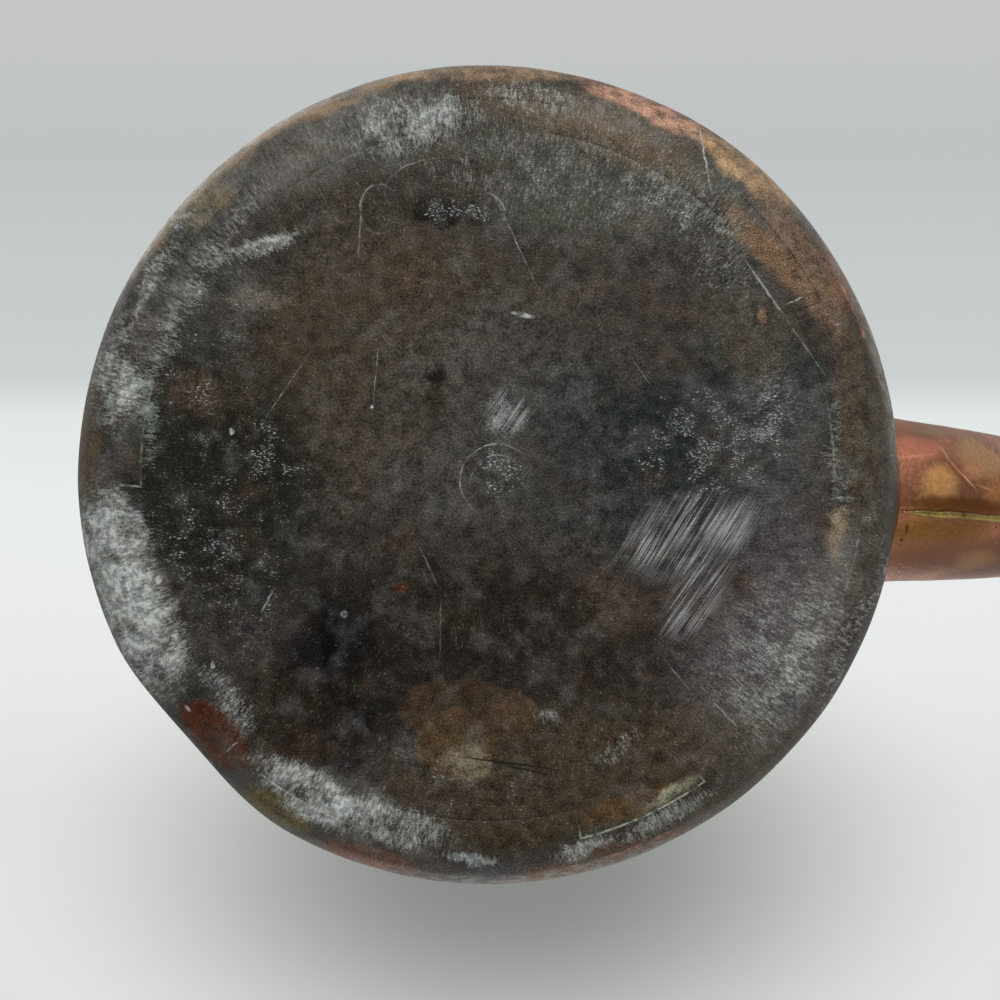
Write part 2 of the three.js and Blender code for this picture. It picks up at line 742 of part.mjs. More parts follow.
function knobProfile() {
  const bore = studRadius + seatGap;
  const boreTop = knobSeat + studDepth + seatGap;
  const ballMiddle = knobSeat + knobHeight - finialHeight - knobRadius;
  const ball = along(7, (t) => {
    const angle = radians(THREE.MathUtils.lerp(ballFrom, ballTo, t));
    return V2(knobRadius * Math.cos(angle), ballMiddle + knobRadius * Math.sin(angle));
  });
  const finialRadius = finialHeight / 2;
  const finialMiddle = knobSeat + knobHeight - finialRadius;
  const finial = along(3, (t) => {
    const angle = radians(THREE.MathUtils.lerp(finialFrom, 90, t));
    return V2(finialRadius * Math.cos(angle), finialMiddle + finialRadius * Math.sin(angle));
  });
  return [
    V2(0, boreTop),
    V2(bore, boreTop),
    V2(bore, knobSeat),
    V2(knobFoot, knobSeat),
    V2(knobFoot, knobSeat + knobFootHeight),
    V2(knobNeck, knobSeat + 2 * knobFootHeight),
    ...ball,
    ...finial.slice(0, -1),
    V2(0, knobSeat + knobHeight),
  ];
}

function studProfile() {
  const washerBottom = lidZ(0) - seatGap - knobWasherThickness;
  const seat = washerBottom - seatGap;
  return [
    ...headProfile(studHead, seat, -studHeadHeight).reverse(),
    V2(studRadius, seat),
    V2(studRadius, knobSeat + studDepth),
    V2(0, knobSeat + studDepth),
  ];
}

function knobWasherProfile() {
  const bore = studRadius + seatGap;
  const top = lidZ(knobWasherRadius) - seatGap;
  return [
    V2(bore, top - knobWasherThickness),
    V2(knobWasherRadius, top - knobWasherThickness),
    V2(knobWasherRadius, top),
    V2(bore, top),
    V2(bore, top - knobWasherThickness),
  ];
}

piece('knob_rosette', turned(rosetteProfile(), knobFacets), agedBrass(), lid);
piece('lid_knob', turned(knobProfile(), knobFacets), agedBrass(), lid);
piece('knob_stud', turned(studProfile(), pinFacets), agedBrass(), lid);
piece('knob_washer', turned(knobWasherProfile(), pinFacets), agedBrass(), lid);

export default kettle;
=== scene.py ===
import math

import bmesh
import bpy
from mathutils import Matrix, Vector, noise


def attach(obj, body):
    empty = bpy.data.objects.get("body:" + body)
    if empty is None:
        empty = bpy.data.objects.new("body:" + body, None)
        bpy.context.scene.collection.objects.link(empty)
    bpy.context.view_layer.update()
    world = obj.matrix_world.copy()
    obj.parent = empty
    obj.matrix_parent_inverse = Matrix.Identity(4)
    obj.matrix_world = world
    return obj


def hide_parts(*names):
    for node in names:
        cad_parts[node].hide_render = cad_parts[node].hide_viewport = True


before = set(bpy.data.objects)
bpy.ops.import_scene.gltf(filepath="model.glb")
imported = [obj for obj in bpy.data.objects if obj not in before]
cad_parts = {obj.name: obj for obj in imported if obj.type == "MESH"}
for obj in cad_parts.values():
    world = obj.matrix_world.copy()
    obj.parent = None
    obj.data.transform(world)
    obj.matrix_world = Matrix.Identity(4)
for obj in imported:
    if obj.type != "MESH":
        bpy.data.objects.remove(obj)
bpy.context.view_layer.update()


# Camera. It looks straight up at the underside, as the photograph does: the base is a circle of
# 408 pixels in radius there, and the spout leaves to the right, turned a little upwards.

MM = 0.001
PHOTO_WIDTH = 1000  # px
PHOTO_CENTRE = (500, 500)
LENS_PIXELS = 2005  # focal length
AXIS_PIXEL = (487.6, 474.1)  # where the kettle's axis meets the base
BASE_SCALE = 3.519  # px for each mm at the base
PHOTO_TURN = math.radians(3.4)

photo_right = Vector((math.cos(PHOTO_TURN), -math.sin(PHOTO_TURN), 0))
photo_down = Vector((math.sin(PHOTO_TURN), math.cos(PHOTO_TURN), 0))
camera_distance = LENS_PIXELS / BASE_SCALE * MM
camera_place = (photo_right * (PHOTO_CENTRE[0] - AXIS_PIXEL[0])
                + photo_down * (PHOTO_CENTRE[1] - AXIS_PIXEL[1])) / BASE_SCALE * MM
camera_place.z = -camera_distance


def seen_at(pixel, height=0.0):
    """The point at a height above the base, in metres, that the camera sees at a pixel."""
    scale = (camera_distance + height) / LENS_PIXELS
    point = camera_place + photo_right * (pixel[0] - PHOTO_CENTRE[0]) * scale
    point += photo_down * (pixel[1] - PHOTO_CENTRE[1]) * scale
    point.z = height
    return point


camera = bpy.data.objects.new("camera", bpy.data.cameras.new("camera"))
bpy.context.scene.collection.objects.link(camera)
camera.data.sensor_width = 36
camera.data.lens = camera.data.sensor_width * LENS_PIXELS / PHOTO_WIDTH
camera.location = camera_place
camera.rotation_mode = "QUATERNION"
camera_axes = Matrix((photo_right, -photo_down, Vector((0, 0, -1)))).transposed()
camera.rotation_quaternion = camera_axes.to_quaternion()
bpy.context.scene.camera = camera
bpy.context.scene.view_settings.view_transform = "Standard"


# Backdrop. A pale sweep lit by daylight: grey at the top of the picture, near white below a soft
# horizon, with the soft shadow that the kettle throws under itself. It is far off, above the
# kettle, and only the room is seen elsewhere.


def linear(colour):
    """A written sRGB colour as the linear values that a node holds."""
    parts = [int(colour[i:i + 2], 16) / 255 for i in (1, 3, 5)]
    return [p / 12.92 if p <= 0.04045 else ((p + 0.055) / 1.055) ** 2.4 for p in parts] + [1]


def add(tree, kind, inputs=None, **settings):
    """Adds a node with its settings, and sets or links its inputs. Gives its outputs."""
    node = tree.nodes.new("ShaderNode" + kind)
    for name, value in settings.items():
        setattr(node, name, value)
    for socket, value in (inputs or {}).items():
        if isinstance(value, bpy.types.NodeSocket):
            tree.links.new(value, node.inputs[socket])
        else:
            node.inputs[socket].default_value = value
    return node.outputs


def fill_ramp(outputs, stops):
    """Gives a colour ramp its stops, each a place and a colour."""
    ramp = outputs[0].node.color_ramp
    while len(ramp.elements) < len(stops):
        ramp.elements.new(0.5)
    for element, (place, colour) in zip(ramp.elements, stops):
        element.position = place
        element.color = linear(colour)
    return outputs[0]


SWEEP = [  # from the picture's top to its bottom
    (0.0, "#c4c7c6"), (0.15, "#bfc3c3"), (0.33, "#c8cece"), (0.38, "#ccd1d1"), (0.415, "#e2e7e6"),
    (0.5, "#e9edec"), (0.65, "#e8ebea"), (0.8, "#dfe2df"), (1.0, "#e0e3e0"),
]
ROOM = [  # from straight down to straight up
    (0.0, "#777674"), (0.38, "#cfd0ce"), (0.5, "#e0e3e2"), (0.75, "#ccd0cf"), (1.0, "#c0c4c3"),
]
OVERHEAD = 0.9  # least upward share of a direction that belongs to the sweep
SHADOW_PIXEL = (512, 862)
SHADOW_RADII = (520, 300)  # px
SHADOW_DEPTH = 0.66

world = bpy.data.worlds.new("studio")
bpy.context.scene.world = world
world.use_nodes = True
tree = world.node_tree
tree.nodes.clear()
direction = add(tree, "TexCoord")["Generated"]
upward = add(tree, "SeparateXYZ", {0: direction})[2]
along = {}
for side, axis in (("right", photo_right), ("down", photo_down)):
    tilt = add(tree, "VectorMath", {0: direction, 1: axis}, operation="DOT_PRODUCT")["Value"]
    along[side] = add(tree, "Math", {0: tilt, 1: upward}, operation="DIVIDE")[0]
picture_height = add(tree, "MapRange", {
    "Value": along["down"],
    "From Min": -PHOTO_CENTRE[1] / LENS_PIXELS,
    "From Max": PHOTO_CENTRE[1] / LENS_PIXELS,
})[0]
sweep = fill_ramp(add(tree, "ValToRGB", {0: picture_height}), SWEEP)
offsets = [add(tree, "MapRange", {
    "Value": along[side],
    "From Min": (SHADOW_PIXEL[i] - PHOTO_CENTRE[i]) / LENS_PIXELS,
    "From Max": (SHADOW_PIXEL[i] - PHOTO_CENTRE[i] + SHADOW_RADII[i]) / LENS_PIXELS,
}, clamp=False)[0] for i, side in enumerate(("right", "down"))]
from_shadow = add(tree, "VectorMath", {
    0: add(tree, "CombineXYZ", {0: offsets[0], 1: offsets[1]})[0],
}, operation="LENGTH")["Value"]
shade = add(tree, "MapRange", {
    "Value": from_shadow,
    "From Min": 1.0, "From Max": 0.1,
    "To Min": 1.0, "To Max": 1 - SHADOW_DEPTH,
}, interpolation_type="SMOOTHSTEP")[0]
shaded_sweep = add(tree, "VectorMath", {0: sweep, "Scale": shade}, operation="SCALE")[0]
room_height = add(tree, "MapRange", {"Value": upward, "From Min": -1.0, "From Max": 1.0})[0]
room = fill_ramp(add(tree, "ValToRGB", {0: room_height}), ROOM)
overhead = add(tree, "Math", {0: upward, 1: OVERHEAD}, operation="GREATER_THAN")[0]
seen = add(tree, "Mix", {0: overhead, 6: room, 7: shaded_sweep}, data_type="RGBA")[2]
add(tree, "OutputWorld", {0: add(tree, "Background", {"Color": seen, "Strength": 1.0})[0]})


# Floor. A pale board just under the base, which keeps the kettle's shadow. Seen from below it lets
# the camera through to the base, and it leaves the lamps' light from below alone.

FLOOR_SIDE = 24  # m
FLOOR_DROP = 0.6 * MM

material = bpy.data.materials.new("painted_board")
material.use_nodes = True
tree = material.node_tree
tree.nodes.clear()
board = add(tree, "BsdfPrincipled", {"Base Color": linear("#dcdddb"), "Roughness": 0.75})[0]
from_below = add(tree, "NewGeometry")["Backfacing"]
clear = add(tree, "BsdfTransparent")[0]
add(tree, "OutputMaterial", {0: add(tree, "MixShader", {0: from_below, 1: board, 2: clear})[0]})

bm = bmesh.new()
bmesh.ops.create_grid(bm, x_segments=1, y_segments=1, size=FLOOR_SIDE / 2)
bmesh.ops.translate(bm, verts=bm.verts, vec=(0, 0, -FLOOR_DROP))
floor = bpy.data.objects.new("floor", bpy.data.meshes.new("floor"))
bm.to_mesh(floor.data)
bm.free()
floor.data.materials.append(material)
floor.visible_diffuse = False
floor.visible_glossy = False
floor.visible_transmission = False
floor.visible_shadow = False
bpy.context.scene.collection.objects.link(floor)


# Lamps. Three soft boxes under the kettle light the base, the strongest one from the picture's top,
# and three above light the rest.

KETTLE_MIDDLE = Vector((20, 0, 110)) * MM
LAMPS = [  # right, up in the picture and height, then size, all in metres, and watts
    ("under_key", 0.20, 0.85, -0.80, 1.0, 17.5),
    ("under_fill", -0.60, -0.55, -0.80, 0.9, 2.6),
    ("under_side", 0.75, -0.70, -0.45, 0.8, 3.0),
    ("over_key", -0.80, 0.95, 1.25, 0.90, 10.0),
    ("over_fill", 1.10, 0.30, 0.90, 0.80, 5.0),
    ("over_back", 0.10, -1.10, 0.80, 0.80, 5.0),
]
for name, right, up, height, size, power in LAMPS:
    lamp = bpy.data.objects.new(name, bpy.data.lights.new(name, "AREA"))
    lamp.data.size = size
    lamp.data.energy = power
    lamp.location = photo_right * right - photo_down * up + Vector((0, 0, height))
    lamp.rotation_mode = "QUATERNION"
    lamp.rotation_quaternion = (KETTLE_MIDDLE - lamp.location).to_track_quat("-Z", "Y")
    bpy.context.scene.collection.objects.link(lamp)


# Base. A disc of soft copper sheet with dovetail tabs, hammered a little hollow, let into the
# wall's turned foot and brazed. Long use over a fire has blackened it, and scale dulls its edge.

BODY_RADIUS = 120  # mm, as are the sizes below
SHEET = 1.4
FOOT_REACH = 18
FOOT_HEIGHT = 20
CRAMP_COUNT = 7
CRAMP_ROOT = 98.5
CRAMP_DEPTH = 8.5
CRAMP_WIDTH = 34
CRAMP_FLARE = 2.5
CRAMP_TURN = math.radians(61.8)
CRAMP_COLUMNS = 48  # mesh columns from one tab's middle to the next
TAB_COLUMNS = 10  # of them in half a tab
BASE_HOLLOW = 0.9
DENT_DEPTH = 3
DENT_TURN = math.radians(135)
DENT_HALF_ANGLE = math.radians(19)
DENT_HEIGHT = 46
RIDGE_RADIUS = 115.2  # where the foot turns up
RIDGE_RISE = 0.22
RIDGE_WIDTH = 1.1
RIDGE_TOP = 14  # it fades from this height to the foot's
FLAT_RADIUS = 88  # the base is beaten uneven as far out as this
SHOULDER_SEAT = (60, 88)  # heights between which the wall grows even
SWAY = ((0.45, 55), (0.16, 17))  # depth and size of the wall's unevenness
BEATEN = ((0.16, 30), (0.05, 9))  # and of the base's
AXIS_RADIUS = 1e-3  # nearer the axis than this a point has no direction outwards


def smoothstep(value, start, end):
    share = min(1.0, max(0.0, (value - start) / (end - start)))
    return share * share * (3 - 2 * share)


def foot_height(radius):
    """Height of the foot's underside at a radius."""
    share = max(0.0, radius - (BODY_RADIUS - FOOT_REACH)) / FOOT_REACH
    return FOOT_HEIGHT * (1 - math.sqrt(max(0.0, 1 - share * share)))


def tab_half_angle(radius):
    share = min(1.0, max(0.0, (radius - CRAMP_ROOT) / CRAMP_DEPTH))
    root = CRAMP_WIDTH / 2 / CRAMP_ROOT
    tip = (CRAMP_WIDTH / 2 + CRAMP_FLARE) / (CRAMP_ROOT + CRAMP_DEPTH)
    return root + (tip - root) * share


def turned(bm, profile, steps, closed=False):
    """Spins a profile of (radius, height) points, in millimetres, about the Z axis."""
    points = [bm.verts.new((radius * MM, 0, height * MM)) for radius, height in profile]
    pairs = list(zip(points, points[1:]))
    if closed:
        pairs.append((points[-1], points[0]))
    lines = [bm.edges.new(pair) for pair in pairs]
    bmesh.ops.spin(bm, geom=points + lines, cent=(0, 0, 0), axis=(0, 0, 1), angle=2 * math.pi,
                   steps=steps, use_merge=True, use_duplicate=False)
    bmesh.ops.remove_doubles(bm, verts=bm.verts, dist=1e-6)
    bmesh.ops.recalc_face_normals(bm, faces=bm.faces)


def face_away(bm, inside):
    """Turns an open skin's faces away from a point inside it, in metres."""
    outward = sum(face.normal.dot(face.calc_center_median() - inside) for face in bm.faces)
    if outward < 0:
        bmesh.ops.reverse_faces(bm, faces=bm.faces)


def slant_columns(bm):
    """Moves a spun skin's columns along the sides of the tabs."""
    step = 2 * math.pi / (CRAMP_COUNT * CRAMP_COLUMNS)
    pitch = 2 * math.pi / CRAMP_COUNT
    for vert in bm.verts:
        radius = math.hypot(vert.co.x, vert.co.y) / MM
        if radius < AXIS_RADIUS:
            continue
        column = round(math.atan2(vert.co.y, vert.co.x) / step)
        tab, place = divmod(column + CRAMP_COLUMNS // 2, CRAMP_COLUMNS)
        place -= CRAMP_COLUMNS // 2
        half = tab_half_angle(radius)
        if abs(place) <= TAB_COLUMNS:
            turn = half * place / TAB_COLUMNS
        else:
            past = (abs(place) - TAB_COLUMNS) / (CRAMP_COLUMNS / 2 - TAB_COLUMNS)
            turn = math.copysign(half + (pitch / 2 - half) * past, place)
        turn += CRAMP_TURN + tab * pitch
        vert.co.x = radius * MM * math.cos(turn)
        vert.co.y = radius * MM * math.sin(turn)


def in_a_tab(point):
    pitch = 2 * math.pi / CRAMP_COUNT
    turn = (math.atan2(point.y, point.x) - CRAMP_TURN + pitch / 2) % pitch - pitch / 2
    return abs(turn) < tab_half_angle(math.hypot(point.x, point.y) / MM)


def years_of_use(bm):
    """The hollow base, the dent, the ridge where the foot turns up, and uneven hammering."""
    for vert in bm.verts:
        point = vert.co / MM
        radius = math.hypot(point.x, point.y)
        if radius < AXIS_RADIUS:
            vert.co.z += BASE_HOLLOW * MM
            continue
        outward = Vector((point.x, point.y, 0)) / radius
        turn = abs((math.atan2(point.y, point.x) - DENT_TURN + math.pi) % (2 * math.pi) - math.pi)
        side = min(1.0, turn / DENT_HALF_ANGLE)
        reach = smoothstep(radius, BODY_RADIUS - FOOT_REACH, BODY_RADIUS - FOOT_REACH / 3)
        low = 1 - smoothstep(point.z, FOOT_HEIGHT, DENT_HEIGHT)
        push = DENT_DEPTH * reach * low * math.cos(side * math.pi / 2) ** 2
        seated = 1 - smoothstep(point.z, *SHOULDER_SEAT)
        sway = sum(depth * noise.noise(point / size) for depth, size in SWAY)
        ridge = RIDGE_RISE * math.exp(-((radius - RIDGE_RADIUS) / RIDGE_WIDTH) ** 2)
        ridge *= 1 - smoothstep(point.z, RIDGE_TOP, FOOT_HEIGHT)
        vert.co += outward * (seated * (reach * sway + ridge) - push) * MM
        flat = 1 - smoothstep(radius, FLAT_RADIUS, BODY_RADIUS - FOOT_REACH)
        lift = BASE_HOLLOW * (1 - (radius / CRAMP_ROOT) ** 2) if radius < CRAMP_ROOT else 0
        beaten = sum(depth * noise.noise(point / size) for depth, size in BEATEN)
        vert.co.z += (lift + flat * beaten) * MM


EDGE_RADIUS = 1  # a rounding of this radius counts fully as an edge
OPEN_EDGE = 0.5  # and a sheet's open edge this much


def make_piece(name, bm, *materials, wear=1.0):
    """Makes a smooth object. Its points hold as edge how far they stand out (1) or lie in (-1),
    times its wear, which is less than nothing where dirt covers what stands out."""
    bm.normal_update()
    edge = bm.verts.layers.float.new("edge")
    for vert in bm.verts:
        bends = [line.calc_face_angle_signed(0) for line in vert.link_edges if line.is_manifold]
        area = sum(face.calc_area() for face in vert.link_faces) / max(1, len(vert.link_faces))
        spacing = max(1e-6, math.sqrt(area))
        bend = 2 * EDGE_RADIUS * MM * sum(bends) / max(1, len(bends)) / spacing
        vert[edge] = wear * (OPEN_EDGE if vert.is_boundary else max(-1.0, min(1.0, bend)))
    mesh = bpy.data.meshes.new(name)
    bm.to_mesh(mesh)
    bm.free()
    mesh.shade_smooth()
    for entry in materials:
        mesh.materials.append(entry)
    piece = bpy.data.objects.new(name, mesh)
    bpy.context.scene.collection.objects.link(piece)
    return piece


def round_edges(piece, width, segments=3, sharpness=40):
    """Rounds the edges that bend by more than a number of degrees."""
    edge = piece.modifiers.new("edge", "BEVEL")
    edge.width = width * MM
    edge.segments = segments
    edge.limit_method = "ANGLE"
    edge.angle_limit = math.radians(sharpness)


def give_thickness(piece, thickness, rounding=0.3):
    """Sheet of that thickness under the skin, lined with the second material, its edges rounded."""
    wall = piece.modifiers.new("thickness", "SOLIDIFY")
    wall.thickness = thickness * MM
    wall.offset = -1
    wall.use_even_offset = True
    wall.material_offset = 1
    round_edges(piece, rounding, segments=2, sharpness=50)


def new_material(name):
    material = bpy.data.materials.new(name)
    material.use_nodes = True
    material.node_tree.nodes.clear()
    return material


def surface(tree, colour, metallic, roughness, relief, depth):
    """The shader and the output, with relief as a bump of a depth in millimetres."""
    bump = add(tree, "Bump", {"Height": relief, "Distance": depth * MM, "Strength": 1.0})[0]
    shader = add(tree, "BsdfPrincipled", {
        "Base Color": colour, "Metallic": metallic, "Roughness": roughness, "Normal": bump,
    })[0]
    add(tree, "OutputMaterial", {0: shader})


def uneven(tree, place, size, low, high, amount=1.0, octaves=3.0, start=0.0):
    """Cloudy noise with a size in millimetres, from 0 below low to amount above high."""
    inputs = {"Vector": place, "Scale": 1 / (size * MM), "Detail": octaves}
    if start:
        inputs["W"] = start
    cloud = add(tree, "TexNoise", inputs, noise_dimensions="4D" if start else "3D")[0]
    return add(tree, "MapRange", {
        "Value": cloud, "From Min": low, "From Max": high, "To Max": amount,
    }, interpolation_type="SMOOTHSTEP")[0]


def copper_skin(tree, place):
    """Colour, roughness and relief of copper that was handled for years and seldom polished: red
    brown under a brown film, with golden bloom, and pink where it is rubbed bright."""
    edge = add(tree, "Attribute", attribute_name="edge")["Fac"]
    worn = uneven(tree, place, 5, 0.35, 0.6, start=5.0)
    standing = add(tree, "MapRange", {"Value": edge, "From Min": 0.1, "From Max": 0.5})[0]
    rubbed = add(tree, "Math", {0: standing, 1: worn}, operation="MULTIPLY")[0]
    dirty = add(tree, "MapRange", {"Value": edge, "From Min": -0.04, "From Max": -0.35})[0]
    colour = linear("#8c5a42")
    for amount, tint in (
        (uneven(tree, place, 42, 0.42, 0.62, 0.75), "#6b4637"),
        (uneven(tree, place, 25, 0.53, 0.68, 0.65, start=3.0), "#a0703f"),
        (uneven(tree, place, 17, 0.55, 0.72, 0.6, start=7.0), "#b0705a"),
        (uneven(tree, place, 60, 0.52, 0.66, 0.6, start=11.0), "#4d3428"),
        (rubbed, "#c68c70"),
        (dirty, "#2f251e"),
    ):
        colour = add(tree, "Mix", {0: amount, 6: colour, 7: linear(tint)}, data_type="RGBA")[2]
    grain = uneven(tree, place, 1.4, 0.3, 0.7, octaves=4.0)
    light = add(tree, "MapRange", {"Value": grain, "To Min": 0.84, "To Max": 1.12})[0]
    colour = add(tree, "HueSaturation", {"Color": colour, "Value": light})[0]
    specks = add(tree, "TexVoronoi", {"Vector": place, "Scale": 1 / (5 * MM)})["Distance"]
    pit = add(tree, "MapRange", {"Value": specks, "From Min": 0.1, "From Max": 0.06})[0]
    colour = add(tree, "Mix", {0: pit, 6: colour, 7: linear("#2b201b")}, data_type="RGBA")[2]
    rough = add(tree, "MapRange", {"Value": grain, "To Min": 0.36, "To Max": 0.52})[0]
    rough = add(tree, "Math", {0: rubbed, 1: -0.1, 2: rough}, operation="MULTIPLY_ADD")[0]
    stroked = add(tree, "Mapping", {
        "Vector": place, "Rotation": (0.4, 0.7, 0.5), "Scale": (1, 14, 1),
    })[0]
    strokes = uneven(tree, stroked, 9, 0.58, 0.66, 0.35)
    relief = add(tree, "Math", {0: grain, 1: strokes}, operation="SUBTRACT")[0]
    relief = add(tree, "Math", {0: relief, 1: pit}, operation="SUBTRACT")[0]
    return colour, rough, relief


# Blackened copper: soft sheet baked over an open fire. Soot and oxide give it a dull, mottled near
# black with brown and blue-grey zones, grey chalky scale in a band round the edge, and scratches.
# Each mark stands at its place in the photograph. Places, radii and widths are in its pixels, and
# turns and slants are clockwise in it, in degrees.

FOOT_SHOWN = 0.02  # m of the foot's height that the photograph shows
PATCH_REACH = 0.009  # m that a patch reaches above that

STAINS = [  # name, place, radii, turn, softness, colour, strength
    ("brown heart", (370, 350), (160, 150), 0, 0.5, "#40372c", 0.85),
    ("red brown heart", (330, 325), (70, 45), -20, 0.6, "#3e382d", 0.35),
    ("grey middle", (500, 440), (120, 130), 0, 0.5, "#3e3d3a", 0.7),
    ("dark top", (570, 180), (200, 75), 10, 0.4, "#323129", 0.85),
    ("blue black heel", (700, 430), (140, 130), 0, 0.45, "#242a2a", 0.9),
    ("black left of the heel", (655, 450), (44, 40), 0, 0.6, "#1c2121", 0.5),
    ("soft brown over the heel", (640, 330), (80, 45), 0, 0.6, "#3c352e", 0.6),
    ("black left", (225, 490), (95, 120), 0, 0.4, "#1b1c16", 0.9),
    ("black upper left", (205, 300), (110, 60), -52, 0.4, "#1d1d19", 0.8),
    ("grey lower middle", (430, 610), (140, 80), 0, 0.5, "#201c16", 0.75),
    ("black lower left", (330, 685), (60, 85), 10, 0.4, "#050504", 0.85),
    ("purple brown", (290, 715), (55, 42), 20, 0.5, "#2b2016", 0.6),
    ("brown lower middle", (570, 650), (130, 70), 10, 0.5, "#201911", 0.7),
    ("grey lower right", (770, 630), (75, 120), 20, 0.5, "#474245", 0.65),
    ("brown bottom", (560, 775), (170, 62), -5, 0.4, "#3e3427", 0.8),
    ("brown lower right", (690, 740), (80, 40), -35, 0.5, "#42372b", 0.6),
    ("umber by the drip", (400, 690), (60, 50), 0, 0.4, "#14120b", 0.6),
    ("olive upper left rim", (193, 199), (120, 8), -47, 0.4, "#73624a", 0.8),
    ("olive patch", (210, 206), (28, 11), -46, 0.5, "#a78f5f", 0.3),
    ("copper top left rim", (337, 101), (95, 8), -22, 0.4, "#8c6f4f", 0.7),
    ("brown top rim", (481, 72), (110, 9), -1, 0.4, "#937a60", 0.7),
    ("brown inside the top rim", (583, 117), (110, 22), 15, 0.5, "#4e4235", 0.75),
    ("pink top right rim", (650, 109), (70, 11), 24, 0.4, "#b98d77", 0.7),
    ("brown under the pink", (620, 145), (80, 16), 22, 0.5, "#543f25", 0.7),
    ("ochre rim", (745, 168), (60, 13), 40, 0.4, "#bf9a70", 0.55),
    ("brown inner rim", (819, 283), (120, 18), 60, 0.4, "#6c5745", 0.8),
    ("orange rim", (852, 304), (62, 9), 65, 0.4, "#784931", 0.5),
    ("brown right rim", (862, 430), (26, 140), -4, 0.3, "#494034", 0.85),
    ("dark brown edge", (874, 368), (75, 10), 72, 0.4, "#352b20", 0.7),
    ("dark right rim", (848, 620), (20, 80), 18, 0.4, "#362c22", 0.8),
    ("brown lower right rim", (764, 761), (115, 14), -45, 0.4, "#3f3529", 0.8),
    ("copper bottom rim", (604, 857), (150, 9), -16, 0.4, "#4a3524", 0.85),
    ("dark bottom gap", (507, 838), (60, 13), -3, 0.5, "#3b3324", 0.8),
    ("brown tab", (629, 807), (46, 13), -23, 0.3, "#5a4327", 0.7),
    ("olive on the tab", (672, 793), (30, 7), -30, 0.4, "#a6a78e", 0.5),
    ("dark beyond the tab", (751, 728), (28, 13), -46, 0.5, "#403924", 0.6),
    ("brown right of the bottom", (859, 574), (90, 10), -75, 0.4, "#352a1f", 0.7),
    ("red bottom rim", (371, 855), (52, 9), 17, 0.4, "#663a1f", 0.7),
    ("olive left of the bottom", (280, 807), (40, 13), 32, 0.3, "#5d502b", 0.85),
    ("oxide in the dent", (214, 733), (44, 22), 42, 0.15, "#4a240f", 0.95),
    ("brown edge of the dent", (180, 735), (80, 11), 50, 0.3, "#1a1005", 0.8),
    ("brown left rim", (88, 430), (14, 75), 4, 0.3, "#51402c", 0.85),
    ("grey left rim", (105, 590), (16, 80), -14, 0.4, "#5b5a52", 0.6),
    ("khaki upper left", (200, 393), (32, 22), 10, 0.5, "#473b2f", 0.7),
    ("plum haze", (258, 298), (28, 12), 0, 0.5, "#6e675d", 0.6),
    ("brown crater field", (445, 188), (58, 36), 0, 0.12, "#241b11", 0.7),
    ("crater scale", (440, 212), (26, 15), 0, 0.12, "#110f07", 0.95),
    ("lesser scale", (478, 213), (16, 12), 20, 0.15, "#040303", 0.9),
    ("round stain", (381, 208), (21, 21), 30, 0.1, "#332e27", 0.75),
    ("olive by the seam", (748, 330), (48, 40), 30, 0.4, "#434138", 0.75),
    ("yellow tab", (762, 248), (58, 15), 50, 0.3, "#795d42", 0.6),
    ("tan stain", (468, 712), (68, 34), 6, 0.07, "#3c2e20", 0.8),
    ("tan stain's foot", (455, 745), (40, 36), 20, 0.07, "#503f28", 0.75),
    ("pale heart of the stain", (466, 762), (24, 18), 0, 0.2, "#736a57", 0.75),
    ("tan stain's arm", (516, 712), (24, 17), 10, 0.1, "#503f2e", 0.7),
    ("dusty pink", (612, 602), (26, 34), -20, 0.5, "#4c3e34", 0.6),
    ("orange under the band", (738, 588), (30, 12), 45, 0.5, "#2d1d11", 0.6),
    ("pale tab edge", (836, 535), (10, 26), 0, 0.5, "#a89677", 0.5),
    ("rust spot", (400, 590), (9, 7), 0, 0.4, "#4a2b13", 0.7),
    ("orange spot", (760, 319), (4, 6), 0, 0.3, "#86664e", 0.7),
    ("upper drip", (437, 378), (6, 20), 4, 0.3, "#17100d", 0.9),
    ("under the upper drip", (434, 405), (13, 18), 0, 0.5, "#322821", 0.8),
    ("lower drip", (330, 652), (8, 46), -3, 0.3, "#040303", 0.95),
    ("spot over the stain", (455, 652), (11, 6), 10, 0.4, "#201612", 0.8),
]
SCALE = [  # chalky scale, the same but with no colour, and two painted glints
    ("left band, upper", (117, 548), (62, 33), 79, 0.35, 1.1),
    ("left band, lower", (144, 628), (66, 33), 66, 0.35, 1.1),
    ("left band's top", (103, 528), (34, 17), 82, 0.5, 0.4),
    ("left band's foot", (139, 644), (26, 17), 64, 0.5, 0.5),
    ("inside the dent", (227, 700), (36, 13), 49, 0.5, 0.7),
    ("lower left band, left", (306, 789), (62, 24), 30, 0.3, 0.95),
    ("lower left band, right", (388, 822), (62, 20), 15, 0.4, 0.85),
    # Painted highlights, not scale: glints of light along the bottom edge.
    ("bottom glint", (474, 858), (30, 6), 2, 0.5, 0.9),
    ("second bottom glint", (581, 850), (28, 9), -14, 0.5, 0.85),
    ("along the tab", (663, 819), (54, 9), -27, 0.5, 0.7),
    ("lower right rim", (849, 643), (90, 8), -65, 0.5, 0.45),
    ("lower right band", (784, 682), (62, 26), -55, 0.6, 0.2),
    ("outer upper left band", (150, 279), (125, 11), -60, 0.5, 0.6),
    ("inner upper left band", (189, 302), (125, 11), -60, 0.6, 0.5),
    ("middle left band", (117, 382), (48, 20), -76, 0.5, 0.45),
    ("top left band", (405, 117), (70, 22), -13, 0.5, 0.3),
    ("top band", (528, 94), (48, 13), 6, 0.5, 0.4),
    ("right band", (837, 462), (62, 8), 88, 0.6, 0.5),
]
